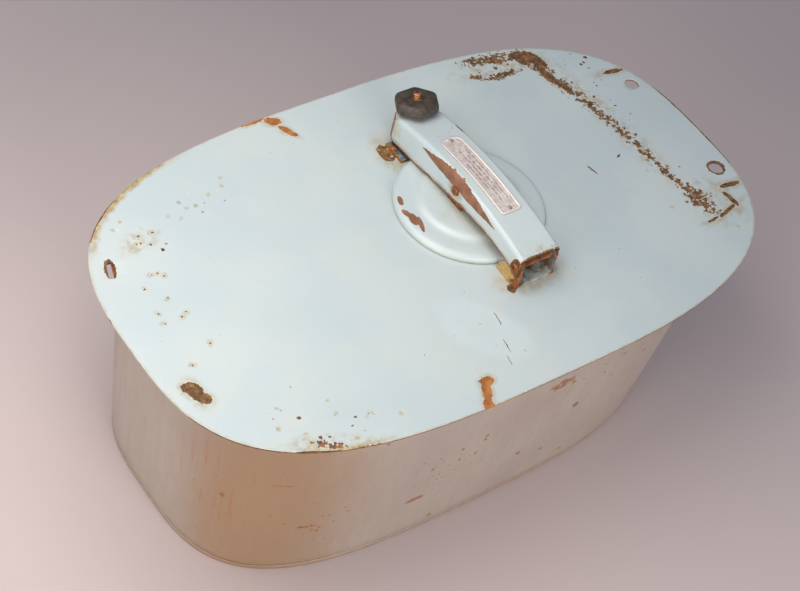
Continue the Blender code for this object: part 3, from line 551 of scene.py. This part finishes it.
def tub_lacquer(name):
    """Satin grey-brown lacquer with faint upright streaks, specks and a rusty foot."""
    look = Look(name, Specular_IOR_Level=0.5)
    streak = look.noise(9, detail=4, roughness=0.6, stretch=(1, 1, 0.12))
    fine = look.noise(3.0, detail=4, roughness=0.7, stretch=(1, 1, 0.1))
    cloud = look.noise(85, detail=3)
    colour = look.mix(streak.rise(0.0, 1.0), tone(180, 167, 155), tone(192, 179, 166))
    colour = look.mix(cloud.rise(0.4, 0.7) * 0.4, colour, tone(172, 157, 147))
    corner = look.patch((-235, -110, 110), (95, 75, 260)).fall(0.3, 1.3)
    colour = look.mix(corner * 0.8, colour, tone(158, 122, 84))
    colour = look.mix(fine.rise(0.5, 0.8) * 0.4, colour, tone(176, 132, 98))
    freckles = look.noise(2.6, detail=5, roughness=0.75)
    colour = look.mix(freckles.rise(0.58, 0.74) * 0.45, colour, tone(150, 104, 74))
    grit = look.noise(1.3, detail=2, roughness=0.8)
    colour = look.mix(grit.rise(0.55, 0.8) * 0.35, colour, tone(216, 200, 186))

    shaken = look.ragged(look.place, 5, 4)
    zone = look.patch((-60, -157, 108), (62, 40, 48)).fall(0.3, 1.2)
    zone = zone.most(look.patch((-205, -150, 75), (60, 60, 45)).fall(0.3, 1.2) * 0.7)
    zone = zone.most(look.patch((95, -160, 150), (80, 40, 50)).fall(0.3, 1.2) * 0.6)
    rust = look.specks(6, 0.36, shaken) * zone
    rust = rust.most(look.specks(11, 0.03, shaken) * 0.8)
    marks = reduce(Field.least, (look.patch(centre, half, 0, shaken) for centre, half in WALL_MARKS))
    rust = rust.most((look.noise(6, detail=5) * 0.6 + marks.fall(0.4, 1.2) * 0.4).rise(0.56, 0.7) * 0.8)
    run = look.patch((-262, -85, 105), (50, 60, 90)).fall(0.3, 1.1)
    run = run * look.noise(6, detail=4, roughness=0.6, stretch=(1, 1, 0.08)).rise(0.52, 0.68)
    colour = look.mix(run * 0.5, colour, tone(170, 106, 66))
    foot = (look.z - look.noise(14, detail=4) * 5).fall(-2.2, 0.0)
    top = look.z.rise(PLATE_TOP - 10, PLATE_TOP - 4) * look.noise(12, detail=4).rise(0.46, 0.62)
    colour = look.mix(look.z.fall(2, 20) * 0.3, colour, tone(176, 140, 104))
    rust = rust.most(foot * 0.8).most(top * 0.6)
    colour = look.mix(rust, colour, look.ramp(look.noise(5, detail=6, roughness=0.7), (
        (0.3, tone(84, 52, 34)), (0.5, tone(150, 92, 50)), (0.72, tone(196, 142, 76)),
    )))
    height = grit * 0.03 + look.noise(40, detail=2) * 0.12 + rust * 0.08
    roughness = look.noise(14, detail=4) * 0.15 + 0.38 + rust * 0.35
    return look.finish(colour, roughness, height, 0.2 - rust * 0.2)


def rust_body(look):
    """Thick rust, from nearly black to orange."""
    return look.ramp(look.noise(4.5, detail=6, roughness=0.7), (
        (0.28, tone(66, 42, 30)), (0.44, tone(116, 70, 40)), (0.58, tone(162, 100, 54)),
        (0.72, tone(200, 148, 84)),
    ))


def rusted(name):
    look = Look(name, Specular_IOR_Level=0.4)
    grain = look.noise(2.0, detail=6, roughness=0.75)
    return look.finish(rust_body(look), look.noise(6) * 0.3 + 0.55, grain * 0.2, 0.1 + grain * 0.15)


def hinge_steel(name):
    """The hinge bracket: old paint on its foot and the near ear, painted shade in dark blue-grey high on
    its inside under the arm, rust elsewhere.
    """
    look = Look(name, Specular_IOR_Level=0.4)
    grain = look.noise(2.0, detail=6, roughness=0.75)
    mottle = look.noise(7, detail=5, roughness=0.65)
    colour = rust_body(look)
    inner = abs(look.x - ARM_X).fall(17.4, 18.2)
    pale = look.mix(mottle.rise(0.4, 0.62), tone(186, 194, 194), tone(150, 128, 96))
    colour = look.mix(inner * mottle.fall(0.58, 0.64), colour, pale)
    # Painted shade: the inside of the bracket above its foot, under the arm, is darkened to blue-grey.
    dark = inner * look.z.rise(PLATE_TOP + 4, PLATE_TOP + 6)
    shaded_inner_steel = look.mix(mottle.rise(0.4, 0.65), tone(70, 76, 84), tone(112, 78, 54))
    colour = look.mix(dark * 0.85, colour, shaded_inner_steel)
    near = look.x.fall(ARM_X - 19.2, ARM_X - 18.6) * ((look.y + 82) / 8 + mottle * 3 - 1.5).rise(0.1, 0.6)
    cream = look.mix(grain.rise(0.3, 0.7), tone(204, 180, 124), tone(168, 126, 70))
    colour = look.mix(near, colour, cream)
    return look.finish(colour, look.noise(6) * 0.3 + 0.5, grain * 0.2, 0.05)


def dark_steel(name):
    """Blue-grey steel under a thin skin of dirt, rusting at the outer ends of its feet."""
    look = Look(name, Specular_IOR_Level=0.5)
    grain = look.noise(2.4, detail=5, roughness=0.7)
    colour = look.mix(look.noise(7, detail=5).rise(0.35, 0.65), tone(66, 76, 86), tone(112, 122, 130))
    reach = abs(look.x - ARM_X) / 10 + look.noise(6, detail=5) * 1.4
    low = look.z.fall(PLATE_TOP + 3, PLATE_TOP + 7)
    rust = (reach * low).rise(2.85, 3.15)
    rusty = look.mix(grain.rise(0.35, 0.65), tone(104, 66, 36), tone(168, 120, 62))
    colour = look.mix(rust, colour, rusty)
    return look.finish(colour, grain * 0.25 + 0.35 + rust * 0.3, grain * 0.12, 0.6 - rust * 0.5)


def bakelite(name):
    """Black-brown moulding, rubbed dull and browner in random clouds, with brown pits."""
    look = Look(name, Specular_IOR_Level=0.5)
    wear = look.noise(7, detail=5, roughness=0.65)
    pits = look.specks(1.6, 0.25)
    colour = look.mix(wear.rise(0.35, 0.7), tone(52, 45, 38), tone(88, 74, 58))
    colour = look.mix(pits * 0.5, colour, tone(112, 92, 66))
    roughness = wear * 0.25 + 0.36
    return look.finish(colour, roughness, look.noise(1.4, detail=4) * 0.06 - pits * 0.03)


def metal(name, dark, light, tarnish=None, *, roughness, metallic, size=3.0, relief=0.05):
    """A worn surface clouded between two tones, with a third for tarnish; size is that of its clouds."""
    look = Look(name)
    cloud = look.noise(size, detail=5, roughness=0.65)
    colour = look.mix(cloud.rise(0.35, 0.68), dark, light)
    if tarnish:
        colour = look.mix(look.noise(size * 2.2, detail=4).rise(0.48, 0.7), colour, tarnish)
    return look.finish(colour, cloud * 0.25 + roughness, cloud * relief, metallic)


def nameplate_metal(name):
    """Scuffed aluminium with a brushed grain, a clean border and broken ruled lines in its field."""
    look = Look(name)
    brushed = look.noise(1.1, detail=4, stretch=(1, 0.06, 1))
    dirt = look.noise(5, detail=5, roughness=0.65)
    colour = look.mix(brushed.rise(0.3, 0.7), tone(226, 212, 204), tone(240, 230, 222))
    off_x = abs(look.x - ARM_X)
    field = off_x.fall(8.4, 9.0) * look.y.rise(-37.5, -36.8) * look.y.fall(53.5, 54.2)
    colour = look.mix(field * dirt.rise(0.35, 0.65) * 0.7, colour, tone(190, 170, 162))
    rules = []
    for place, low, high in ((5.4, -28, 40), (1.8, -20, 30), (-1.8, -26, 38), (-5.4, -12, 22)):
        across = abs(look.x - ARM_X - place).fall(0.5, 1.0)
        rules.append(across * look.y.rise(low, low + 1) * look.y.fall(high, high + 1))
    lines = reduce(Field.most, rules) * look.noise(2.6, detail=3).rise(0.4, 0.55)
    colour = look.mix(lines * 0.7, colour, tone(146, 124, 112))
    height = brushed * 0.02 - lines * 0.12 + dirt * 0.03
    return look.finish(colour, dirt * 0.25 + 0.34, height, 0.25)


# ---- mesh helpers

def place_mesh(builder, name):
    """A new object of this name from a bmesh, which is freed."""
    mesh = bpy.data.meshes.new(name)
    builder.to_mesh(mesh)
    builder.free()
    item = bpy.data.objects.new(name, mesh)
    bpy.context.scene.collection.objects.link(item)
    return item


def mesh_object(name, rows, wrap=False, pole=False):
    """Quads between rows of points in millimetres; wrap closes each row, pole fills the last one."""
    builder = bmesh.new()
    made = [[builder.verts.new(Vector(point) * MM) for point in row] for row in rows]
    for lower, upper in zip(made, made[1:]):
        count = len(lower)
        for i in range(count if wrap else count - 1):
            j = (i + 1) % count
            builder.faces.new((lower[i], lower[j], upper[j], upper[i]))
    if pole:
        builder.faces.new(made[-1])
    bmesh.ops.remove_doubles(builder, verts=builder.verts, dist=0.01 * MM)
    bmesh.ops.recalc_face_normals(builder, faces=builder.faces)
    return place_mesh(builder, name)


def face_up(piece):
    """Turn all faces over if the highest one looks down."""
    highest = max(piece.data.polygons, key=lambda face: face.center.z)
    if highest.normal.z < 0:
        piece.data.flip_normals()


def thicken(piece, thickness):
    """Give a surface thickness on its inner side."""
    sheet = piece.modifiers.new("sheet", "SOLIDIFY")
    sheet.thickness = thickness * MM
    sheet.offset = -1
    sheet.use_even_offset = True


def soften(piece, width, segments=2, angle=40):
    edges = piece.modifiers.new("edges", "BEVEL")
    edges.width = width * MM
    edges.segments = segments
    edges.limit_method = "ANGLE"
    edges.angle_limit = radians(angle)
    edges.use_clamp_overlap = True


def settle(piece, angle=38):
    """Apply the modifiers, then shade smooth with sharp edges past this angle."""
    evaluated = piece.evaluated_get(bpy.context.evaluated_depsgraph_get())
    mesh = bpy.data.meshes.new_from_object(evaluated)
    piece.modifiers.clear()
    piece.data = mesh
    mesh.shade_smooth()
    mesh.set_sharp_from_angle(angle=radians(angle))


def bore(piece, *holes):
    """Cut holes, each (x, y, z, width, length, axis, turn), along Z, or round ones along X.

    The cutters it returns are removed once the modifiers have been applied.
    """
    cutters = []
    for x, y, z, width, length, axis, turn in holes:
        builder = bmesh.new()
        bmesh.ops.create_cone(builder, cap_ends=True, segments=48, radius1=0.5, radius2=0.5, depth=1)
        short, long = sorted((width, length))
        for vertex in builder.verts:
            vertex.co.x *= short
            vertex.co.y = vertex.co.y * short + copysign((long - short) / 2, vertex.co.y)
            vertex.co.z *= 60 if axis == "X" else 24
        turned = Matrix.Rotation(radians(turn), 3, "Z")
        if axis == "X":
            turned = Matrix.Rotation(pi / 2, 3, "Y")
        bmesh.ops.rotate(builder, cent=(0, 0, 0), matrix=turned, verts=builder.verts)
        bmesh.ops.translate(builder, vec=(x, y, z), verts=builder.verts)
        bmesh.ops.scale(builder, vec=(MM, MM, MM), verts=builder.verts)
        cutter = place_mesh(builder, "cutter")
        step = piece.modifiers.new("hole", "BOOLEAN")
        step.object = cutter
        step.solver = "EXACT"
        cutters.append(cutter)
    bpy.context.view_layer.update()
    return cutters


def remove(objects):
    for item in objects:
        bpy.data.objects.remove(item, do_unlink=True)


def install(piece, node, material):
    """Let a finished piece stand for a CAD node, on that node's body."""
    piece.data.materials.clear()
    piece.data.materials.append(material)
    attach(piece, frame["nodes"][node]["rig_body"])
    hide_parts(node)


def smooth_run(points, steps=5):
    """A curve through the points (a Catmull-Rom spline)."""
    points = [Vector(point) for point in points]
    ends = [points[0] * 2 - points[1], *points, points[-1] * 2 - points[-2]]
    run = []
    for before, start, end, after in zip(ends, ends[1:], ends[2:], ends[3:]):
        for i in range(steps):
            t = i / steps
            run.append(0.5 * (
                2 * start + (end - before) * t
                + (2 * before - 5 * start + 4 * end - after) * t * t
                + (3 * start - before - 3 * end + after) * t ** 3
            ))
    run.append(points[-1])
    return run


def superellipse(half, exponent, angle):
    c, s = cos(angle), sin(angle)
    x = half[0] * copysign(abs(c) ** (2 / exponent), c)
    y = half[1] * copysign(abs(s) ** (2 / exponent), s)
    return x, y


def even_angles(half, exponent, count):
    """Angles for superellipse points that are equally far apart along the outline."""
    fine = 4000
    points = [Vector(superellipse(half, exponent, 2 * pi * i / fine)) for i in range(fine + 1)]
    lengths = [0.0]
    for first, second in zip(points, points[1:]):
        lengths.append(lengths[-1] + (second - first).length)
    angles, place = [], 0
    for i in range(count):
        wanted = lengths[-1] * i / count
        while lengths[place + 1] < wanted:
            place += 1
        angles.append(2 * pi * place / fine)
    return angles


def bump_at(x, y, centre_x, centre_y, half_x, half_y):
    """A round swelling of height 1."""
    return exp(-((x - centre_x) / half_x) ** 2 - ((y - centre_y) / half_y) ** 2)


def ease(value, low, high):
    share = min(max((value - low) / (high - low), 0.0), 1.0)
    return share * share * (3 - 2 * share)


# ---- top plate

def plate_height(x, y):
    """The plate's uneven top: shallow dents in its middle and a slightly wavy free edge."""
    dents = (
        -1.1 * bump_at(x, y, -22, -112, 26, 44)
        + 0.8 * bump_at(x, y, -150, 20, 90, 90)
        - 0.7 * bump_at(x, y, 170, -70, 60, 60)
        + 0.5 * bump_at(x, y, 170, 90, 50, 40)
    )
    from_hatch = hypot(x - HATCH.x, y - HATCH.y)
    rim = abs(x / PLATE_HALF.x) ** PLATE_EXPONENT + abs(y / PLATE_HALF.y) ** PLATE_EXPONENT
    rim = rim ** (1 / PLATE_EXPONENT)
    inner = ease(from_hatch, 88, 130) * ease(0.86 - rim, 0.0, 0.14)
    edge = 0.7 * noise.noise(Vector((x / 90, y / 90, 3.0))) * ease(rim, 0.93, 1.0)
    return PLATE_TOP + dents * inner + edge


def make_plate():
    angles = even_angles(PLATE_HALF, PLATE_EXPONENT, ROUND * 2)
    outer = [Vector(superellipse(PLATE_HALF, PLATE_EXPONENT, angle)) for angle in angles]
    inner = [HATCH + (point - HATCH).normalized() * HATCH_OPENING for point in outer]
    shares = [0, 0.008, 0.03, 0.07, 0.12] + [0.12 + 0.88 * i / 18 for i in range(1, 19)]
    rows = []
    for share in shares:
        row = []
        for start, end in zip(outer, inner):
            point = start.lerp(end, share)
            row.append((point.x, point.y, plate_height(point.x, point.y)))
        rows.append(row)
    plate = mesh_object("top_plate_sheet", rows, wrap=True)
    face_up(plate)
    thicken(plate, PLATE_THICKNESS)
    cutters = bore(plate, *[(x, y, PLATE_TOP, w, l, "Z", turn) for x, y, w, l, turn in FIXING_HOLES])
    soften(plate, 0.5, angle=50)
    settle(plate)
    remove(cutters)
    orange = (tone(150, 92, 46), tone(190, 124, 60))
    paint = enamel("worn_enamel_plate_sheen_and_shade", plate_rust_and_edge_shade, plate_stain, plate_fresh, orange)
    install(plate, "top_plate", paint)


# ---- tub

TUB_ANGLES = even_angles(TUB_TOP_HALF, TUB_EXPONENT, ROUND)


def tub_row(height, offset=0.0):
    """Points round the outside of the tub at this height, moved outwards by offset."""
    share = height / (PLATE_TOP - PLATE_THICKNESS)
    half = TUB_BASE_HALF.lerp(TUB_TOP_HALF, share) + Vector((offset, offset))
    centre = TUB_BASE_CENTRE + (TUB_TOP_CENTRE - TUB_BASE_CENTRE) * share
    row = []
    for angle in TUB_ANGLES:
        x, y = superellipse(half, TUB_EXPONENT, angle)
        row.append((centre + x, y, height))
    return row


def wall_dent(x, y, z):
    """How far the wall is pushed in: slow waves, and two soft knocks in its near side."""
    wave = 0.5 + 0.5 * noise.noise(Vector((x / 120, y / 120, z / 160)))
    knocks = (bump_at(x, z, -150, 45, 40, 26) + bump_at(x, z, 60, 120, 70, 40)) * (y < 0)
    return (0.7 * wave + 1.2 * knocks) * ease(z, 6, 40) * ease(PLATE_TOP - 4 - z, 0, 40)


def make_tub():
    """The wall stands inside the pan's rim, steps out above it to lie flush, and leans back in."""
    low, high = PAN_SHEET + GAP, PLATE_TOP - PLATE_THICKNESS - GAP
    inset = -(PAN_SHEET + GAP)
    sheet, rim = PAN_SHEET, PAN_RIM
    steps = 30
    start = rim + 2.0
    heights = [low, rim + 0.2, rim + 0.7, rim + 1.3]
    heights += [start + (high - start) * i / steps for i in range(steps + 1)]
    rows = []
    for height in heights:
        flush = ease(height, rim + 0.2, start) * (1 - ease(height, 40, 150))
        row = []
        for x, y, z in tub_row(height, inset * (1 - flush)):
            outwards = Vector((x, y * 1.6)).normalized() * wall_dent(x, y, z)
            row.append((x - outwards.x, y - outwards.y, z))
        rows.append(row)
    wall = mesh_object("tub_wall_sheet", rows, wrap=True)
    thicken(wall, WALL_SHEET)
    soften(wall, 0.3, 1)
    settle(wall)
    paint = tub_lacquer("satin_lacquer")
    install(wall, "tub_wall", paint)

    pan_rows = [
        tub_row(0, -4 * sheet), tub_row(0, -1.4 * sheet), tub_row(0.3 * sheet, -0.4 * sheet),
        tub_row(sheet), tub_row(rim - 0.4), tub_row(rim, -0.4), tub_row(rim, -sheet + 0.1),
        tub_row(rim - 0.1, -sheet), tub_row(sheet, -sheet), tub_row(sheet, -20),
    ]
    below, above = ([(TUB_BASE_CENTRE, 0, height)] * ROUND for height in (0, sheet))
    pan = mesh_object("tub_bottom_pan", [below, *pan_rows, above], wrap=True)
    settle(pan)
    install(pan, "tub_bottom", paint)


# ---- hatch cap

def ring_rows(profile, centre, count):
    """Rows of points round an upright axis, one for each (radius, height)."""
    rows = []
    for radius, height in profile:
        row = []
        for i in range(count):
            angle = 2 * pi * i / count
            x, y = centre[0] + radius * cos(angle), centre[1] + radius * sin(angle)
            row.append((x, y, height))
        rows.append(row)
    return rows


def make_cap():
    top = PLATE_TOP
    profile = smooth_run((
        (70, top + 0.6), (70, top + 2.6), (69.6, top + 4.4), (68, top + 6.2), (64.5, top + 7.3),
        (59, top + 7.7), (53.5, top + 7.9), (50, top + 8.5), (46, top + 10.2), (42.5, top + 10.85),
        (36, top + 11), (20, top + 11), (4, top + 11),
    ))
    cap = mesh_object("hatch_cap_pressing", ring_rows(profile, HATCH, ROUND), wrap=True, pole=True)
    face_up(cap)
    thicken(cap, CAP_SHEET)
    soften(cap, 0.3, 1, 60)
    settle(cap)
    paint = enamel("worn_enamel_cap_and_shade", cap_rust, cap_stain_and_shade, lambda look: 0.9)
    install(cap, "hatch_cap", paint)


# ---- clamp arm and nameplate

def make_arm():
    """A channel swept along the arm and round its far end, one half made and the other mirrored."""
    straight, turn, fold_steps = 70, 26, 10
    stations = []
    for i in range(straight + 1):
        stations.append(((0, ARM_OPEN_Y + (ARM_ROUND_Y - ARM_OPEN_Y) * i / straight), (1, 0)))
    for i in range(1, turn + 1):
        angle = pi / 2 * i / turn
        stations.append(((0, ARM_ROUND_Y), (cos(angle), sin(angle))))
    insets = [(0.0, share) for share in (1.0, 0.75, 0.5, 0.25, 0.0)]
    for i in range(1, fold_steps + 1):
        angle = pi / 2 * i / fold_steps
        insets.append((ARM_FOLD * (1 - cos(angle)), -ARM_FOLD * (1 - sin(angle))))
    insets += [(share * ARM_HALF_WIDTH, 0) for share in (0.4, 0.6, 0.8, 1.0)]

    rows = []
    for inset, drop in insets:
        row = []
        for centre, direction in stations:
            reach = ARM_HALF_WIDTH - inset
            x, y = centre[0] + direction[0] * reach, centre[1] + direction[1] * reach
            top = arm_top(y)
            if inset == 0:
                shoulder = top - ARM_FOLD
                height = shoulder + (arm_edge(y) - shoulder) * drop
            else:
                height = top + drop
            row.append((ARM_X + x, y, height))
        rows.append(row)
    mirrored = [[(2 * ARM_X - x, y, z) for x, y, z in row] for row in reversed(rows)]
    arm = mesh_object("clamp_arm_sheet", rows + mirrored[1:])
    face_up(arm)
    thicken(arm, ARM_SHEET)
    cutters = bore(
        arm,
        (*HINGE_PIVOT, HINGE_BORE, HINGE_BORE, "X", 0),
        (*CAP_PIVOT, CAP_PIN_BORE, CAP_PIN_BORE, "X", 0),
        (ARM_X, KNOB_Y, arm_top(KNOB_Y), STUD_BORE, STUD_BORE, "Z", 0),
    )
    soften(arm, 0.35, 2, 50)
    settle(arm)
    remove(cutters)
    paint = enamel("worn_enamel_arm", arm_rust, arm_stain, lambda look: look.y.rise(-78, -70) * 0.95)
    install(arm, "clamp_arm", paint)


def nameplate_outline(inset):
    """Points round the nameplate, this far inside its edge, from its near right corner."""
    steps = 8
    half, low, high = NAMEPLATE_HALF_WIDTH - inset, NAMEPLATE_NEAR_Y + inset, NAMEPLATE_FAR_Y - inset
    near, far = (max(radius - inset, 0.4) for radius in (NAMEPLATE_NEAR_RADIUS, NAMEPLATE_FAR_RADIUS))
    corners = (
        (half, low, near, -90), (half, high, far, 0), (-half, high, far, 90), (-half, low, near, 180),
    )
    arcs = []
    for x, y, radius, start in corners:
        centre = Vector((x - copysign(radius, x), y + radius if y == low else y - radius))
        arc = []
        for i in range(steps + 1):
            angle = radians(start + 90 * i / steps)
            arc.append(centre + Vector((cos(angle), sin(angle))) * radius)
        arcs.append(arc)
    outline = []
    for arc, following, side_steps in zip(arcs, arcs[1:] + arcs[:1], NAMEPLATE_SIDE_STEPS):
        outline += arc
        for i in range(1, side_steps):
            outline.append(arc[-1].lerp(following[0], i / side_steps))
    return outline


def make_nameplate():
    levels = ((0, 0.8), (0.15, 1.45), (0.5, 1.65), (1.5, 1.65), (1.9, 1.3), (2.4, 1.25))
    rows = []
    for inset, height in levels:
        rows.append([(ARM_X + x, y, arm_top(y) + height) for x, y in nameplate_outline(inset)])
    middle_line = []
    for _, y, _ in rows[-1]:
        y = min(max(y, -31), 48)
        middle_line.append((ARM_X, y, arm_top(y) + 1.25))
    rows.append(middle_line)
    plate = mesh_object("nameplate_sheet", rows, wrap=True)
    face_up(plate)
    thicken(plate, NAMEPLATE_SHEET)
    settle(plate, 50)
    install(plate, "nameplate", nameplate_metal("scuffed_aluminium"))


# ---- knob and bolt

def knob_rows(profile, count):
    """Rows round the knob's axis; each profile point is (radius, height, lobe)."""
    rows = []
    for radius, height, lobe in profile:
        row = []
        for i in range(count):
            angle = 2 * pi * i / count
            swell = 1 + lobe * (cos(KNOB_LOBES * angle) + 0.16 * cos(2 * KNOB_LOBES * angle))
            row.append(KNOB_PLACE @ Vector((
                radius * swell * cos(angle), radius * swell * sin(angle), height,
            )))
        rows.append(row)
    return rows


def make_knob():
    lobe = 0.05
    profile = smooth_run((
        (12, 2.3, 0), (12, 3.7, 0), (17.4, 4.1, lobe), (19.2, 5.0, lobe), (20.1, 7.0, lobe),
        (20.3, 9.2, lobe), (20, 11.6, lobe), (19.2, 13.4, lobe), (17.6, 14.7, lobe * 0.95),
        (15, 15.3, lobe * 0.8), (11, 15.5, lobe * 0.5), (7.4, 15.6, 0), (6.4, 15.5, 0), (6.3, 15.1, 0),
    ), 4)
    profile += [Vector((6.3, 2.3, 0)), Vector((12, 2.3, 0))]
    knob = mesh_object("hand_knob", knob_rows(profile, 180), wrap=True)
    settle(knob, 50)
    install(knob, "knob", bakelite("worn_bakelite"))

    ring = (
        (4.35, 2.3), (6.0, 2.3), (6.0, 16.0), (5.85, 16.35), (5.4, 16.6), (4.9, 16.55), (4.5, 16.3),
        (4.35, 2.3),
    )
    insert = mesh_object("hand_knob_insert", knob_rows([(r, h, 0) for r, h in ring], 48), wrap=True)
    settle(insert, 50)
    gilt = metal(
        "tarnished_brass", tone(112, 76, 52), tone(158, 112, 76), tone(84, 60, 44),
        roughness=0.4, metallic=0.7, size=1.6,
    )
    install(insert, "knob_insert", gilt)


def thread_radius(height, angle):
    """Radius of the bolt, with a V thread that winds up it and fades out at both ends."""
    turns = height / THREAD_PITCH - angle / (2 * pi)
    groove = abs((turns % 1.0) * 2 - 1)
    fade = ease(height, -16, -14) * ease(STUD_HIGH - 0.2 - height, 0, 0.8)
    return STUD_RADIUS - THREAD_DEPTH * groove * fade


def make_bolt():
    count, per_pitch = 40, 8
    low, high = STUD_LOW, STUD_HIGH
    steps = round((high - low) / THREAD_PITCH * per_pitch)
    rows = []
    for i in range(steps + 1):
        height = low + (high - low) * i / steps
        row = []
        for j in range(count):
            angle = 2 * pi * j / count
            radius = thread_radius(height, angle)
            row.append(KNOB_PLACE @ Vector((radius * cos(angle), radius * sin(angle), height)))
        rows.append(row)
    for i in range(1, 7):
        angle = pi / 2 * i / 7
        rows += knob_rows([(STUD_RADIUS * cos(angle), high + STUD_DOME * sin(angle), 0)], count)
    bolt = mesh_object("clamp_bolt_threaded", rows, wrap=True, pole=True)

    builder = bmesh.new()
    bmesh.ops.create_cube(builder, size=1.0)
    bmesh.ops.scale(builder, vec=T_HEAD_SIZE * MM, verts=builder.verts)
    bmesh.ops.translate(builder, vec=(0, 0, T_HEAD_MIDDLE * MM), verts=builder.verts)
    bmesh.ops.bevel(builder, geom=builder.edges, offset=0.8 * MM, segments=3, affect="EDGES", profile=0.5)
    place = Matrix.Translation(KNOB_PLACE.translation * MM) @ KNOB_PLACE.to_3x3().to_4x4()
    builder.transform(place)
    builder.from_mesh(bolt.data)
    builder.to_mesh(bolt.data)
    builder.free()
    settle(bolt, 40)
    copper = metal(
        "coppery_brass", tone(150, 92, 62), tone(206, 152, 116), tone(108, 68, 48),
        roughness=0.32, metallic=0.8, size=2.0,
    )
    install(bolt, "clamp_bolt", copper)


# ---- pieces that keep the CAD shape

def refine(node, material, width):
    """A copy of a CAD node with its flat faces whole again and its edges broken."""
    builder = bmesh.new()
    builder.from_mesh(frame["nodes"][node].data)
    bmesh.ops.remove_doubles(builder, verts=builder.verts, dist=0.01 * MM)
    bmesh.ops.dissolve_limit(
        builder, angle_limit=radians(1), verts=builder.verts, edges=builder.edges,
        use_dissolve_boundaries=False,
    )
    piece = place_mesh(builder, node + "_finished")
    soften(piece, width, 2, 50)
    settle(piece)
    install(piece, node, material)


def make_fittings():
    rust = rusted("rusted_steel")
    steel = metal(
        "dull_steel", tone(92, 94, 98), tone(150, 150, 150), tone(110, 88, 70),
        roughness=0.35, metallic=0.9, size=6.0, relief=0.04,
    )
    rivet = metal(
        "nameplate_rivet_metal", tone(132, 118, 110), tone(186, 172, 164),
        roughness=0.4, metallic=0.5, size=1.5,
    )
    rubber = metal(
        "gasket_rubber", tone(30, 30, 31), tone(46, 45, 44),
        roughness=0.65, metallic=0.0, size=4.0, relief=0.04,
    )
    refine("hinge_bracket", hinge_steel("rusted_bracket_and_shade"), 0.35)
    refine("keeper_bracket", dark_steel("keeper_steel"), 0.35)
    rough = (("cap_saddle", 0.3), ("hinge_pin", 0.25), ("cap_pivot_pin", 0.4), ("top_weld_bead", 0.5))
    for node, width in rough:
        refine(node, rust, width)
    neck = enamel("worn_enamel_neck", neck_rust, neck_stain, lambda look: 0.0)
    refine("hatch_neck", neck, 0.2)
    refine("hatch_gasket", rubber, 0.3)
    refine("hatch_spigot", steel, 0.25)
    refine("thrust_washer", steel, 0.25)
    for number in (1, 2):
        refine(f"nameplate_rivet_{number}", rivet, 0.1)
        for row in ("hinge_bracket_rivet", "keeper_rivet", "cap_saddle_rivet"):
            refine(f"{row}_{number}", rust, 0.2)


# ---- stage, light and camera

def make_floor():
    builder = bmesh.new()
    bmesh.ops.create_grid(builder, x_segments=8, y_segments=8, size=8.0)
    floor = place_mesh(builder, "floor")
    look = Look("floor_paper", Roughness=0.9, Base_Color=tone(208, 192, 189))
    floor.data.materials.append(look.material)


def area_light(name, place, aim, size, power, colour, spread=180):
    """A rectangular light in metres and watts; spread is in degrees."""
    light = bpy.data.lights.new(name, "AREA")
    light.spread = radians(spread)
    light.shape = "RECTANGLE"
    light.size, light.size_y = size
    light.energy = power
    light.color = colour
    holder = bpy.data.objects.new(name, light)
    bpy.context.scene.collection.objects.link(holder)
    holder.location = place
    holder.rotation_mode = "QUATERNION"
    holder.rotation_quaternion = (Vector(aim) - Vector(place)).to_track_quat("-Z", "Y")


def make_lights():
    """A softbox over the tub's left end, two wide fills and a cool room."""
    warm = (1.0, 0.955, 0.90)
    area_light("softbox", (-0.42, 0.14, 0.98), (-0.42, 0.0, 0.2), (0.9, 0.75), 4.9, warm, 140)
    area_light("front_fill", (-0.4, -3.0, 1.25), (0, -0.1, 0.12), (2.0, 1.5), 56, (1.0, 0.965, 0.93))
    area_light("left_fill", (-3.1, -0.7, 1.1), (-0.2, 0, 0.12), (1.8, 1.4), 38, (1.0, 0.965, 0.92))
    world = bpy.data.worlds.new("soft_room")
    world.use_nodes = True
    background = world.node_tree.nodes["Background"]
    background.inputs["Color"].default_value = tone(172, 184, 208)
    background.inputs["Strength"].default_value = 0.42
    bpy.context.scene.world = world


CAMERA_ANGLES = (-46.48, 47.47, 15.56)
CAMERA_AIM = Vector((-0.0763, -0.0494, 0.223))
CAMERA_DISTANCE = 1.710


def make_camera():
    """A long lens that looks down on the tub from its near left, rolled a little."""
    azimuth, elevation, roll = (radians(angle) for angle in CAMERA_ANGLES)
    back = Vector((
        sin(azimuth) * cos(elevation), -cos(azimuth) * cos(elevation), sin(elevation),
    ))
    data = bpy.data.cameras.new("camera")
    data.lens = 90.0
    data.sensor_width = 36.0
    data.clip_end = 50.0
    camera = bpy.data.objects.new("camera", data)
    bpy.context.scene.collection.objects.link(camera)
    camera.location = CAMERA_AIM + back * CAMERA_DISTANCE
    camera.rotation_mode = "QUATERNION"
    camera.rotation_quaternion = (-back).to_track_quat("-Z", "Y") @ Quaternion((0, 0, 1), roll)
    bpy.context.scene.camera = camera
    bpy.context.scene.view_settings.view_transform = "Standard"


make_camera()
make_plate()
make_tub()
make_cap()
make_arm()
make_nameplate()
make_knob()
make_bolt()
make_fittings()
make_floor()
make_lights()
